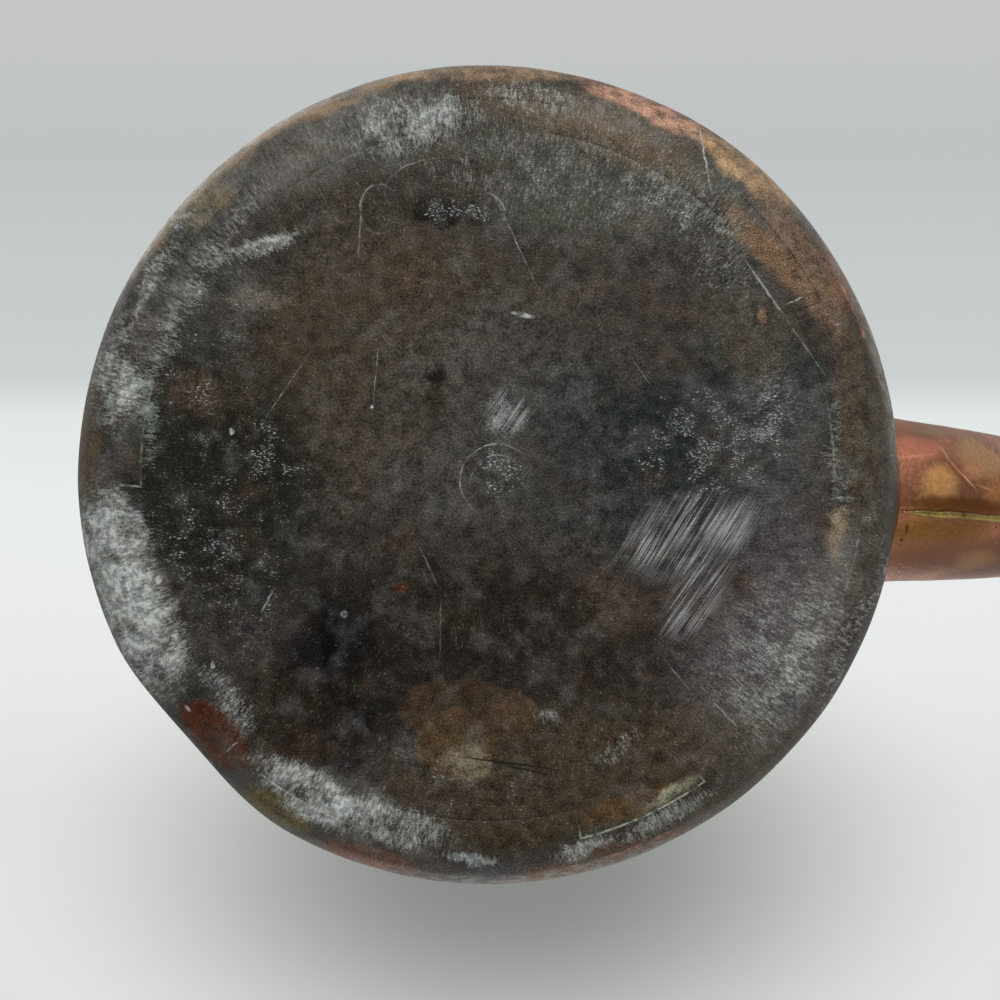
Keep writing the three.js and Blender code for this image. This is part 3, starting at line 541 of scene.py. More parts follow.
FILM = [  # a thin grey film of it
    ("top left film", (313, 147), (125, 34), -28, 0.5, 0.6),
    ("upper left film", (165, 288), (100, 32), -60, 0.5, 0.5),
    ("left film, upper", (115, 408), (60, 26), -80, 0.5, 0.4),
    ("left film", (130, 590), (120, 34), 72, 0.2, 0.85),
    ("lower left film", (346, 807), (112, 26), 23, 0.4, 0.65),
    ("bottom film", (594, 840), (100, 11), -16, 0.5, 0.12),
    ("lower right film", (812, 636), (105, 24), -64, 0.5, 0.5),
    ("right film", (867, 541), (60, 20), -80, 0.5, 0.2),
    ("top right film", (585, 111), (70, 18), 15, 0.5, 0.35),
    ("inner top film", (575, 175), (190, 55), 8, 0.6, 0.35),
    ("right of the heel", (775, 440), (50, 70), 0, 0.6, 0.25),
    ("haze by the upper left flecks", (215, 300), (60, 40), -50, 0.6, 0.25),
    ("inner lower right film", (770, 655), (60, 100), 28, 0.6, 0.45),
]
DUST = [  # the same, away from the band
    ("white streak", (262, 248), (34, 9), -24, 0.6, 1.4),
    ("top dust", (410, 128), (60, 16), -18, 0.6, 0.5),
    ("dusty top", (560, 160), (150, 50), 12, 0.6, 0.22),
    ("right of the top", (690, 205), (60, 26), 20, 0.6, 0.25),
    ("by the yellow tab", (725, 258), (30, 42), -35, 0.6, 0.25),
    ("over the ring", (503, 418), (22, 20), 0, 0.6, 0.6),
    ("heel dust", (770, 405), (30, 40), 0, 0.6, 0.25),
    ("lower right dust", (775, 650), (46, 80), 32, 0.6, 0.4),
    ("verdigris", (149, 417), (9, 46), 0, 0.6, 0.6),
    ("streak by the stain", (548, 720), (15, 6), 10, 0.5, 0.6),
    ("pink streak", (618, 752), (32, 9), -40, 0.5, 0.45),
    ("middle left dust", (120, 395), (22, 30), 0, 0.6, 0.6),
]
FLECKS_AND_GLINTS = [  # bright bits of scale in the black zones, and painted glints on the crater scale
    ("heel flecks", (700, 450), (75, 60), 0, 0.8, 0.95),
    ("heel's right flecks", (770, 410), (22, 32), 0, 0.8, 0.8),
    ("left flecks", (235, 480), (110, 110), 0, 0.8, 0.45),
    ("left cluster", (270, 455), (28, 26), 0, 0.8, 0.5),
    ("upper left flecks", (200, 330), (110, 50), -55, 0.8, 0.55),
    ("lower left flecks", (215, 590), (60, 90), -20, 0.8, 0.55),
    ("top flecks", (560, 165), (180, 60), 10, 0.8, 0.6),
    ("top right flecks", (670, 210), (45, 26), 15, 0.8, 0.5),
    ("bottom flecks", (450, 800), (150, 50), 5, 0.6, 0.6),
    ("right rim flecks", (870, 560), (26, 150), 5, 0.6, 0.8),
    ("ring flecks", (497, 474), (26, 26), 0, 0.5, 0.9),
    # Painted highlights: glints of light on the rough crater scale.
    ("crater glints", (440, 212), (22, 12), 0, 0.25, 0.9),
    ("lesser glints", (478, 213), (13, 9), 20, 0.3, 0.75),
    ("base's flecks", (488, 474), (330, 330), 0, 0.1, 0.2),
]
DARK_CUT = -0.8  # strength of a scratch that is dark
SCRATCHES = [  # name, ends, width, strength
    ("long one over the rim", (698, 120), (711, 190), 0.9, 0.75),
    ("by the round stain", (358, 262), (362, 200), 0.8, 0.3),
    ("brown one", (266, 417), (307, 357), 0.7, 0.45),
    ("upright one", (373, 408), (378, 350), 0.6, 0.4),
    ("by the crater", (492, 190), (535, 282), 0.8, 0.3),
    ("below the ring", (420, 548), (439, 588), 0.9, 0.4),
    ("below it", (441, 592), (440, 656), 0.8, 0.2),
    ("white nick", (512, 313), (533, 317), 2.2, 1.0),
    ("seam corner", (786, 304), (802, 298), 1.0, 0.8),
    ("pale seam, upper", (748, 264), (790, 324), 1.1, 0.6),
    ("pale seam, lower", (789, 323), (825, 375), 0.9, 0.35),
    ("short pair", (834, 325), (846, 322), 0.8, 0.6),
    ("heel one", (632, 358), (650, 385), 0.6, 0.3),
    ("left one", (262, 612), (273, 590), 1.0, 0.5),
    ("by the dent", (185, 705), (190, 712), 1.4, 0.8),
    ("dent one", (238, 742), (226, 752), 0.7, 0.8),
    ("low right one", (712, 700), (738, 727), 0.7, 0.5),
    ("lower one", (665, 660), (690, 690), 0.6, 0.4),
    ("pair on the stain", (460, 757), (560, 770), 1.0, DARK_CUT),
    ("second of the pair", (500, 764), (548, 775), 1.2, DARK_CUT),
    ("top tick", (355, 78), (362, 84), 0.9, 0.7),
]
DROPS = [  # spatters of white: name, place, radii
    ("left drop", (159, 578), (3.5, 6)),
    ("round drop", (344, 614), (3.5, 3.5)),
    ("small drop", (232, 431), (2.5, 3.5)),
    ("tiny drop", (372, 407), (1.6, 1.6)),
    ("low speck", (213, 665), (2, 4)),
    ("speck by the streak", (200, 292), (1.6, 1.6)),
]
SHEEN_BANDS = [  # grit-rubbed fine lines with painted sheen: name, place, radii, turn, slant of its fine lines, strength
    ("wide band", (690, 533), (66, 34), -20, -58, 0.7),
    ("bright end", (728, 528), (20, 38), 32, -57, 0.8),
    ("band's tail", (696, 596), (22, 44), 36, -55, 0.65),
    ("small band", (508, 412), (20, 19), 0, -55, 0.6),
]
BRAZE_AND_HIGHLIGHT_SHOWN = [  # where the braze shows, and on the lower right arc a painted highlight along it
    ("left arc", (144, 426), (60, 22), -82, 0.4, 0.4),
    ("upper arc", (358, 152), (95, 22), -22, 0.4, 0.25),
    ("left corner", (130, 499), (26, 20), 86, 0.4, 0.4),
    ("lower left arc", (311, 806), (70, 16), 28, 0.4, 0.7),
    # Painted highlight along the seam's raised edge, as well as braze.
    ("lower right arc", (641, 818), (80, 20), -24, 0.4, 1.0),
    ("lower right root", (773, 674), (70, 16), -55, 0.4, 0.35),
    ("right tab", (852, 565), (34, 18), -76, 0.4, 0.5),
    ("right arc", (835, 474), (85, 16), -90, 0.4, 0.45),
]
RIDGE_HIGHLIGHTS = [  # painted glints on the foot's worn ridge, and a pale painted line of rim light
    ("orange glints", (853, 311), (40, 14), 66, 0.5, 0.5),
    ("pink glints", (650, 109), (60, 14), 24, 0.5, 0.3),
    ("pale edge", (256, 144), (110, 14), -35, 0.5, 0.2),
    ("bottom edge", (624, 850), (80, 14), -20, 0.5, 0.3),
]
TIDES = [  # pale tide marks: name, place, radii, turn, where it shows, radius there, strength
    ("ring", (497, 481), (37, 37), 0, (474, 461), 40, 0.6),
    ("inner ring", (497, 486), (27, 31), 0, (487, 462), 22, 0.4),
    ("round stain", (379, 209), (19, 25), 0, (364, 204), 26, 0.5),
    ("crater field", (445, 192), (60, 34), 0, (420, 165), 34, 0.35),
    ("beside the lesser scale", (483, 213), (22, 20), 0, (497, 205), 16, 0.5),
]


def patch(tree, place, pixel, radii, turn, softness, height=0.0, reach=PATCH_REACH):
    """A soft-edged ellipse, 1 inside it and 0 outside, at a height above the base. It fades over a
    reach up and down. Both are in metres."""
    scale = (1 + softness) * (camera_distance + height) / LENS_PIXELS
    spot = add(tree, "Mapping", {
        "Vector": place,
        "Location": seen_at(pixel, height),
        "Rotation": (0, 0, math.radians(turn) - PHOTO_TURN),
        "Scale": (radii[0] * scale, radii[1] * scale, reach * (1 + softness)),
    }, vector_type="TEXTURE")[0]
    nearness = add(tree, "TexGradient", {"Vector": spot}, gradient_type="SPHERICAL")["Fac"]
    return add(tree, "MapRange", {
        "Value": nearness, "From Max": 2 * softness / (1 + softness),
    }, interpolation_type="SMOOTHSTEP")[0]


def outline(tree, place, pixel, radii, turn):
    """A line about two pixels wide round an ellipse on the base."""
    scale = 2 * camera_distance / LENS_PIXELS
    spot = add(tree, "Mapping", {
        "Vector": place,
        "Location": seen_at(pixel),
        "Rotation": (0, 0, math.radians(turn) - PHOTO_TURN),
        "Scale": (radii[0] * scale, radii[1] * scale, PATCH_REACH),
    }, vector_type="TEXTURE")[0]
    nearness = add(tree, "TexGradient", {"Vector": spot}, gradient_type="SPHERICAL")["Fac"]
    off = add(tree, "Math", {0: nearness, 1: 0.5}, operation="SUBTRACT")[0]
    off = add(tree, "Math", {0: off}, operation="ABSOLUTE")[0]
    return add(tree, "MapRange", {
        "Value": off, "From Min": 1.2 / sum(radii), "From Max": 0.3 / sum(radii),
    })[0]


def wavering(tree, place, size, reach):
    """The place shifted by smooth noise of a size, by up to about a reach, both in millimetres."""
    noise_inputs = {"Vector": place, "Scale": 1 / (size * MM), "Detail": 3.0}
    drift = add(tree, "TexNoise", noise_inputs)["Color"]
    centred = add(tree, "VectorMath", {0: drift, 1: (0.5, 0.5, 0.5)}, operation="SUBTRACT")[0]
    span = (2 * reach * MM,) * 3
    return add(tree, "VectorMath", {0: centred, 1: span, 2: place}, operation="MULTIPLY_ADD")[0]


def gathered(tree, place, patches):
    """The sum of patches, each by its strength."""
    total = 0.0
    for name, pixel, radii, turn, softness, strength in patches:
        spot = patch(tree, place, pixel, radii, turn, softness)
        total = add(tree, "Math", {0: spot, 1: strength, 2: total}, operation="MULTIPLY_ADD")[0]
    return total


def seam_line(tree, around, outward, half_root, width):
    """1 on a dovetailed seam. Around is the way along it from a tab's middle, outward the way from
    the tabs' roots, both in millimetres."""
    beside = add(tree, "Math", {0: around}, operation="ABSOLUTE")[0]
    half = add(tree, "Math", {0: outward, 1: CRAMP_FLARE / CRAMP_DEPTH, 2: half_root},
               operation="MULTIPLY_ADD")[0]
    beside = add(tree, "Math", {0: beside, 1: half}, operation="SUBTRACT")[0]
    past_tip = add(tree, "Math", {0: outward, 1: CRAMP_DEPTH}, operation="SUBTRACT")[0]
    tab = add(tree, "Math", {0: beside, 1: past_tip}, operation="MAXIMUM")[0]
    disc = add(tree, "Math", {0: outward, 1: tab}, operation="MINIMUM")[0]
    off = add(tree, "Math", {0: disc}, operation="ABSOLUTE")[0]
    return add(tree, "MapRange", {"Value": off, "From Min": width, "From Max": width / 3},
               interpolation_type="SMOOTHSTEP")[0]


blackened = new_material("fire_blackened_copper")
tree = blackened.node_tree
place = add(tree, "TexCoord")["Object"]
across = add(tree, "SeparateXYZ", {0: place})

# Each place moved to where the photograph shows it, since the foot is seen further in as it rises.
depth = add(tree, "Math", {0: across[2], 1: camera_distance}, operation="ADD")[0]
nearer = add(tree, "Math", {0: camera_distance, 1: depth}, operation="DIVIDE")[0]
shown_place = add(tree, "VectorMath", {0: place, 1: camera_place}, operation="SUBTRACT")[0]
shown_place = add(tree, "VectorMath", {0: shown_place, "Scale": nearer}, operation="SCALE")[0]
shown_place = add(tree, "VectorMath", {0: shown_place, 1: camera_place}, operation="ADD")[0]
over_foot = add(tree, "Math", {0: across[2], 1: FOOT_SHOWN}, operation="SUBTRACT")[0]
over_foot = add(tree, "Math", {0: over_foot, 1: 0.0}, operation="MAXIMUM")[0]
over_foot = add(tree, "CombineXYZ", {2: over_foot})[0]
shown_place = add(tree, "VectorMath", {0: shown_place, 1: over_foot}, operation="ADD")[0]
drifting = wavering(tree, wavering(tree, shown_place, 3, 0.9), 16, 4.5)
crisp = wavering(tree, shown_place, 2.5, 0.45)
ragged = wavering(tree, crisp, 8, 3)

SHARP_EDGED = 0.2  # most softness of a stain with a ragged outline
sooted = linear("#3a3530")
for amount, tint in (
    (uneven(tree, place, 38, 0.4, 0.6, 0.8), "#33322f"),
    (uneven(tree, place, 14, 0.5, 0.7, 0.6, start=4.0), "#4a4640"),
    (uneven(tree, place, 9, 0.52, 0.7, 0.6, start=9.0), "#28241e"),
):
    sooted = add(tree, "Mix", {0: amount, 6: sooted, 7: linear(tint)}, data_type="RGBA")[2]
for name, pixel, radii, turn, softness, tint, strength in STAINS:
    where = drifting if softness > SHARP_EDGED else ragged
    spot = patch(tree, where, pixel, radii, turn, softness)
    spot = add(tree, "Math", {0: spot, 1: strength}, operation="MULTIPLY")[0]
    sooted = add(tree, "Mix", {0: spot, 6: sooted, 7: linear(tint)}, data_type="RGBA")[2]
for amount, tint in (
    (uneven(tree, place, 9, 0.48, 0.7, 0.4, start=13.0), "#54524f"),
    (uneven(tree, place, 5, 0.5, 0.72, 0.5, start=17.0), "#1f1b18"),
    (uneven(tree, place, 13, 0.5, 0.7, 0.3, start=21.0), "#4b3a2f"),
):
    sooted = add(tree, "Mix", {0: amount, 6: sooted, 7: linear(tint)}, data_type="RGBA")[2]

# Grain: mottling of 4 mm, and of half a millimetre, which is about two pixels wide.
mottle = uneven(tree, place, 3.6, 0.34, 0.66, octaves=4.0)
grain = uneven(tree, place, 0.5, 0.38, 0.64, octaves=3.0)
light = add(tree, "MapRange", {"Value": mottle, "To Min": 0.38, "To Max": 0.98})[0]
light = add(tree, "Math", {0: grain, 1: 0.7, 2: light}, operation="MULTIPLY_ADD")[0]
sooted = add(tree, "HueSaturation", {"Color": sooted, "Value": light})[0]

# Scale lies in a band round the base's edge, combed outwards, and in patches elsewhere.
flat = add(tree, "CombineXYZ", {0: across[0], 1: across[1]})[0]
from_axis = add(tree, "VectorMath", {0: flat}, operation="LENGTH")["Value"]
radius = add(tree, "Math", {0: from_axis, 1: MM}, operation="DIVIDE")[0]
round_axis = add(tree, "VectorMath", {0: flat}, operation="NORMALIZE")[0]
COMB_RADIUS = 0.11  # m, about the band's
COMB_STRETCH = 0.35  # share of the streaks' width to their length
ring = add(tree, "VectorMath", {0: round_axis, "Scale": COMB_RADIUS}, operation="SCALE")[0]
comb_height = add(tree, "Math", {0: from_axis, 1: COMB_STRETCH}, operation="MULTIPLY")[0]
comb_height = add(tree, "CombineXYZ", {2: comb_height})[0]
combed = add(tree, "VectorMath", {0: ring, 1: comb_height}, operation="ADD")[0]
combing = uneven(tree, combed, 0.72, 0.38, 0.62, octaves=5.0)
texture = add(tree, "Math", {0: combing, 1: 0.3}, operation="MULTIPLY")[0]
texture = add(tree, "Math", {0: mottle, 1: 0.12, 2: texture}, operation="MULTIPLY_ADD")[0]
texture = add(tree, "Math", {0: grain, 1: 0.18, 2: texture}, operation="MULTIPLY_ADD")[0]
clumps = uneven(tree, place, 7, 0.3, 0.65)
gathering = add(tree, "MapRange", {"Value": clumps, "To Min": 0.4})[0]
# Chalky scale and the painted bottom glints, gathered into one mask.
level = gathered(tree, drifting, SCALE + DUST)
level = add(tree, "Math", {0: level, 1: gathering}, operation="MULTIPLY")[0]
chalk_and_glints = add(tree, "Math", {0: level, 1: 0.7, 2: texture}, operation="MULTIPLY_ADD")[0]
chalk_and_glints = add(tree, "MapRange", {
    "Value": chalk_and_glints, "From Min": 0.46, "From Max": 1.3, "To Max": 0.95,
})[0]
film = gathered(tree, drifting, FILM)
film = add(tree, "Math", {0: film, 1: gathering}, operation="MULTIPLY")[0]
film_texture = add(tree, "MapRange", {
    "Value": texture, "From Max": 0.6, "To Min": 0.25, "To Max": 1.2,
}, clamp=False)[0]
film = add(tree, "Math", {0: film, 1: film_texture}, operation="MULTIPLY", use_clamp=True)[0]

# Bright flecks of scale, with the painted glints of the crater scale among them.
FLECK_SIZE = 0.95
FLECK_STRETCH = 2.2
FLECK_TURN = math.radians(-35)
strewn = add(tree, "Mapping", {
    "Vector": crisp, "Rotation": (0, 0, FLECK_TURN), "Scale": (1, FLECK_STRETCH, 1),
})[0]
bits = add(tree, "TexNoise", {"Vector": strewn, "Scale": 1 / (FLECK_SIZE * MM), "Detail": 4.0})[0]
level = gathered(tree, drifting, FLECKS_AND_GLINTS)
level = add(tree, "Math", {0: level, 1: gathering}, operation="MULTIPLY")[0]
strewing = add(tree, "MapRange", {"Value": mottle, "To Min": 0.6, "To Max": 1.25})[0]
level = add(tree, "Math", {0: level, 1: strewing}, operation="MULTIPLY")[0]
least = add(tree, "MapRange", {"Value": level, "To Min": 0.78, "To Max": 0.52})[0]
flecks = add(tree, "Math", {0: bits, 1: least}, operation="SUBTRACT")[0]
flecks = add(tree, "MapRange", {"Value": flecks, "From Max": 0.12})[0]

marks = 0.0
cuts = 0.0
for name, start, end, width, strength in SCRATCHES:
    middle = ((start[0] + end[0]) / 2, (start[1] + end[1]) / 2)
    length = math.dist(start, end)
    turn = math.degrees(math.atan2(end[1] - start[1], end[0] - start[0]))
    line = patch(tree, crisp, middle, (length / 2, width), turn, 0.4)
    line = add(tree, "Math", {0: line, 1: abs(strength)}, operation="MULTIPLY")[0]
    if strength > 0:
        marks = add(tree, "Math", {0: line, 1: marks}, operation="MAXIMUM")[0]
    else:
        cuts = add(tree, "Math", {0: line, 1: cuts}, operation="MAXIMUM")[0]
for name, pixel, radii in DROPS:
    drop = patch(tree, crisp, pixel, radii, 0, 0.3)
    marks = add(tree, "Math", {0: drop, 1: marks}, operation="MAXIMUM")[0]
for name, pixel, radii, turn, shown_pixel, shown_radius, strength in TIDES:
    tide = outline(tree, crisp, pixel, radii, turn)
    shown = patch(tree, shown_place, shown_pixel, (shown_radius, shown_radius), 0, 0.6)
    tide = add(tree, "Math", {0: tide, 1: shown}, operation="MULTIPLY")[0]
    tide = add(tree, "Math", {0: tide, 1: strength}, operation="MULTIPLY")[0]
    marks = add(tree, "Math", {0: tide, 1: marks}, operation="MAXIMUM")[0]

broken = add(tree, "MapRange", {"Value": uneven(tree, place, 2.5, 0.38, 0.6), "To Min": 0.15})[0]
marks = add(tree, "Math", {0: marks, 1: broken}, operation="MULTIPLY")[0]
# Painted sheen: the bands' fine lines are painted pale where they catch the light.
for name, pixel, radii, turn, slant, strength in SHEEN_BANDS:
    area = patch(tree, drifting, pixel, radii, turn, 0.35)
    lines = add(tree, "Mapping", {
        "Vector": place, "Rotation": (0, 0, PHOTO_TURN - math.radians(slant)),
    })[0]
    lines = add(tree, "VectorMath", {0: lines, 1: (0.025, 1, 0)}, operation="MULTIPLY")[0]
    lines = uneven(tree, lines, 0.42, 0.42, 0.66, octaves=2.0, start=pixel[0])
    lines = add(tree, "Math", {0: area, 1: lines}, operation="MULTIPLY")[0]
    lines = add(tree, "Math", {0: lines, 1: gathering}, operation="MULTIPLY")[0]
    lines = add(tree, "Math", {0: lines, 1: strength}, operation="MULTIPLY")[0]
    marks = add(tree, "Math", {0: lines, 1: marks}, operation="MAXIMUM")[0]

# The brazed seams: round the base, and up the back of the wall where its ends meet.
SIDE_PITCH = 15  # mm from one tab to the next, up the wall
SIDE_HALF_ROOT = 2.6
SIDE_START = 12 * MM  # the wall's seam starts at this height
BASE_STOP = 4 * MM  # and the base's stays below this
BACK = -100 * MM  # the wall's seam is further back than this
turn_round = add(tree, "Math", {0: across[1], 1: across[0]}, operation="ARCTAN2")[0]
turn_round = add(tree, "Math", {0: turn_round, 1: CRAMP_TURN}, operation="SUBTRACT")[0]
half_pitch = math.pi / CRAMP_COUNT
turn_round = add(tree, "Math", {0: turn_round, 1: half_pitch, 2: -half_pitch}, operation="WRAP")[0]
around = add(tree, "Math", {0: turn_round, 1: radius}, operation="MULTIPLY")[0]
outward = add(tree, "Math", {0: radius, 1: CRAMP_ROOT}, operation="SUBTRACT")[0]
on_base_seam = seam_line(tree, around, outward, CRAMP_WIDTH / 2, 0.45)
below = add(tree, "Math", {0: across[2], 1: BASE_STOP}, operation="LESS_THAN")[0]
on_base_seam = add(tree, "Math", {0: on_base_seam, 1: below}, operation="MULTIPLY")[0]
up_wall = add(tree, "Math", {0: across[2], 1: 1 / MM}, operation="MULTIPLY")[0]
up_wall = add(tree, "Math", {0: up_wall, 1: SIDE_PITCH / 2, 2: -SIDE_PITCH / 2},
              operation="WRAP")[0]
sideways = add(tree, "Math", {0: across[1], 1: 1 / MM, 2: CRAMP_DEPTH / 2},
               operation="MULTIPLY_ADD")[0]
on_side_seam = seam_line(tree, up_wall, sideways, SIDE_HALF_ROOT, 0.6)
behind = add(tree, "Math", {0: across[0], 1: BACK}, operation="LESS_THAN")[0]
above = add(tree, "Math", {0: across[2], 1: SIDE_START}, operation="GREATER_THAN")[0]
on_side_seam = add(tree, "Math", {0: on_side_seam, 1: behind}, operation="MULTIPLY")[0]
on_side_seam = add(tree, "Math", {0: on_side_seam, 1: above}, operation="MULTIPLY")[0]
seam = add(tree, "Math", {0: on_base_seam, 1: on_side_seam}, operation="MAXIMUM")[0]
# Pale braze where the seam shows. On the lower right arc it is a painted highlight on the seam's
# edge.
braze_and_highlight = gathered(tree, shown_place, BRAZE_AND_HIGHLIGHT_SHOWN)
braze_and_highlight = add(tree, "Math", {0: braze_and_highlight, 1: on_base_seam}, operation="MULTIPLY")[0]
braze_and_highlight = add(tree, "Math", {0: braze_and_highlight, 1: broken}, operation="MULTIPLY", use_clamp=True)[0]
on_side_seam = add(tree, "Math", {0: on_side_seam, 1: clumps}, operation="MULTIPLY")[0]

# Painted highlight: a line of pinkish copper glints along the foot's worn ridge.
ridge = add(tree, "Math", {0: radius, 1: RIDGE_RADIUS}, operation="SUBTRACT")[0]
ridge = add(tree, "Math", {0: ridge}, operation="ABSOLUTE")[0]
ridge = add(tree, "MapRange", {"Value": ridge, "From Min": 0.7, "From Max": 0.15})[0]
ridge_highlights_shown = gathered(tree, shown_place, RIDGE_HIGHLIGHTS)
ridge = add(tree, "Math", {0: ridge, 1: ridge_highlights_shown}, operation="MULTIPLY")[0]
ridge = add(tree, "Math", {0: ridge, 1: broken}, operation="MULTIPLY", use_clamp=True)[0]
ridge = add(tree, "Math", {0: ridge, 1: mottle}, operation="MULTIPLY")[0]

# Soot covers the base and thins out up the wall, with an edge like flames.
SOOT_TOP = 50.0  # mm
SOOT_FULL = -4.0
FLAMES = ((26, -24.0), (8, -13.0))  # their sizes, and how much lower a place counts in them
VERDIGRIS_PIXEL = (149, 420)
VERDIGRIS_RADII = (9, 48)  # px
metal, metal_rough, metal_relief = copper_skin(tree, place)
height = add(tree, "Math", {0: across[2], 1: 1 / MM}, operation="MULTIPLY")[0]
flames = add(tree, "Mapping", {"Vector": place, "Scale": (1, 1, 0.4)})[0]
for size, rise in FLAMES:
    flame = uneven(tree, flames, size, 0.3, 0.7)
    height = add(tree, "Math", {0: flame, 1: rise, 2: height}, operation="MULTIPLY_ADD")[0]
soot = add(tree, "MapRange", {"Value": height, "From Min": SOOT_TOP, "From Max": SOOT_FULL},
           interpolation_type="SMOOTHSTEP")[0]
colour = add(tree, "Mix", {0: soot, 6: metal, 7: sooted}, data_type="RGBA")[2]
seam_dark = add(tree, "Math", {0: seam, 1: 0.15}, operation="MULTIPLY")[0]
powdery = uneven(tree, place, 2, 0.4, 0.6)
pale = add(tree, "Mix", {0: powdery, 6: linear("#7f8581"), 7: linear("#b2b7b2")},
           data_type="RGBA")[2]
verdigris = patch(tree, drifting, VERDIGRIS_PIXEL, VERDIGRIS_RADII, 0, 0.8)
pale = add(tree, "Mix", {0: verdigris, 6: pale, 7: linear("#8b9c8d")}, data_type="RGBA")[2]
glint = add(tree, "MapRange", {"Value": grain, "To Min": 0.3, "To Max": 0.9})[0]
flecks = add(tree, "Math", {0: flecks, 1: glint}, operation="MULTIPLY")[0]
# Layers over the copper. Among them is painted light: the seam's highlight, the ridge's glints,
# glints in the chalk and the flecks, and the bands' sheen in the marks.
for amount, tint in (
    (seam_dark, linear("#1d1815")),
    (on_side_seam, linear("#8a7d56")),
    (braze_and_highlight, linear("#9fa295")),
    (ridge, linear("#d99c7b")),
    (film, linear("#76756f")),
    (chalk_and_glints, pale),
    (cuts, linear("#141312")),
    (flecks, linear("#a9adab")),
    (marks, linear("#a3a6a6")),
):
    colour = add(tree, "Mix", {0: amount, 6: colour, 7: tint}, data_type="RGBA")[2]
dull = add(tree, "Math", {0: chalk_and_glints, 1: flecks}, operation="MAXIMUM")[0]
dull = add(tree, "Math", {0: film, 1: 0.6, 2: dull}, operation="MULTIPLY_ADD", use_clamp=True)[0]
metallic = add(tree, "MapRange", {"Value": dull, "To Min": 0.9, "To Max": 0.1})[0]
rough = add(tree, "MapRange", {"Value": mottle, "To Min": 0.5, "To Max": 0.68})[0]
rough = add(tree, "Mix", {0: soot, 2: metal_rough, 3: rough})[0]
rough = add(tree, "Math", {0: dull, 1: 0.25, 2: rough}, operation="MULTIPLY_ADD")[0]
relief = add(tree, "Math", {0: mottle, 1: grain}, operation="ADD")[0]
relief = add(tree, "Math", {0: seam, 1: -0.8, 2: relief}, operation="MULTIPLY_ADD")[0]
relief = add(tree, "Mix", {0: soot, 2: metal_relief, 3: relief})[0]
surface(tree, colour, metallic, rough, relief, 0.07)

# Tinned lining: hot tin wiped over the inside, gone grey, with a bloom of limescale low down.
tinned = new_material("tinned_copper_lining")
tree = tinned.node_tree
place = add(tree, "TexCoord")["Object"]
wiped = uneven(tree, place, 16, 0.35, 0.65)
lime = uneven(tree, place, 4, 0.45, 0.62, 0.8, start=2.0)
inner_height = add(tree, "SeparateXYZ", {0: place})[2]
low = add(tree, "MapRange", {"Value": inner_height, "From Min": 0.09, "From Max": 0.05})[0]
lime = add(tree, "Math", {0: lime, 1: low}, operation="MULTIPLY")[0]
colour = add(tree, "Mix", {0: wiped, 6: linear("#74736f"), 7: linear("#96958f")},
             data_type="RGBA")[2]
colour = add(tree, "Mix", {0: lime, 6: colour, 7: linear("#c4bba4")}, data_type="RGBA")[2]
metallic = add(tree, "MapRange", {"Value": lime, "To Min": 0.85, "To Max": 0.05})[0]
rough = add(tree, "MapRange", {"Value": lime, "To Min": 0.45, "To Max": 0.9})[0]
relief = add(tree, "Math", {0: wiped, 1: lime}, operation="ADD")[0]
surface(tree, colour, metallic, rough, relief, 0.1)

RING_STEP = 3
RING_COUNT = 33  # inside the tabs' roots
CRAMP_RADII = (CRAMP_ROOT, 102, 104.5)  # of the skin's rings along a tab
base_radii = [RING_STEP * i for i in range(RING_COUNT)]
base_radii += [*CRAMP_RADII, CRAMP_ROOT + CRAMP_DEPTH]
bm = bmesh.new()
turned(bm, [(radius, foot_height(radius)) for radius in base_radii], CRAMP_COUNT * CRAMP_COLUMNS)
slant_columns(bm)
spare = []
for face in bm.faces:
    middle = face.calc_center_median()
    if middle.xy.length > CRAMP_ROOT * MM and not in_a_tab(middle):
        spare.append(face)
bmesh.ops.delete(bm, geom=spare, context="FACES")
face_away(bm, Vector((0, 0, 0.05)))
years_of_use(bm)
base = make_piece("base_disc", bm, blackened, tinned)
give_thickness(base, SHEET, 0.12)
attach(base, "kettle")
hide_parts("base_pan")


# Wall. One sheet rolled up and brazed down the back, drawn in a little to the top, its foot turned
# in under the kettle and notched for the base's tabs. It is holed for the spout.

WALL_HEIGHT = 100
WALL_TOP_RADIUS = 111
WALL_STEP = 2.0
FOOT_STEPS = 18
SPOUT_ROOT_HEIGHT = 50
SPOUT_HOLE = (23.7, 25.8)  # half width and half height


def wall_radius(height):
    share = max(0.0, height - FOOT_HEIGHT) / (WALL_HEIGHT - FOOT_HEIGHT)
    return WALL_TOP_RADIUS + (BODY_RADIUS - WALL_TOP_RADIUS) * math.cos(share * math.pi / 2)


def across_hole(point):
    """A place on the wall from the middle of the spout's hole, whose edge is 1 away."""
    height = point.z - SPOUT_ROOT_HEIGHT * MM
    return Vector((point.y / SPOUT_HOLE[0], height / SPOUT_HOLE[1])) / MM


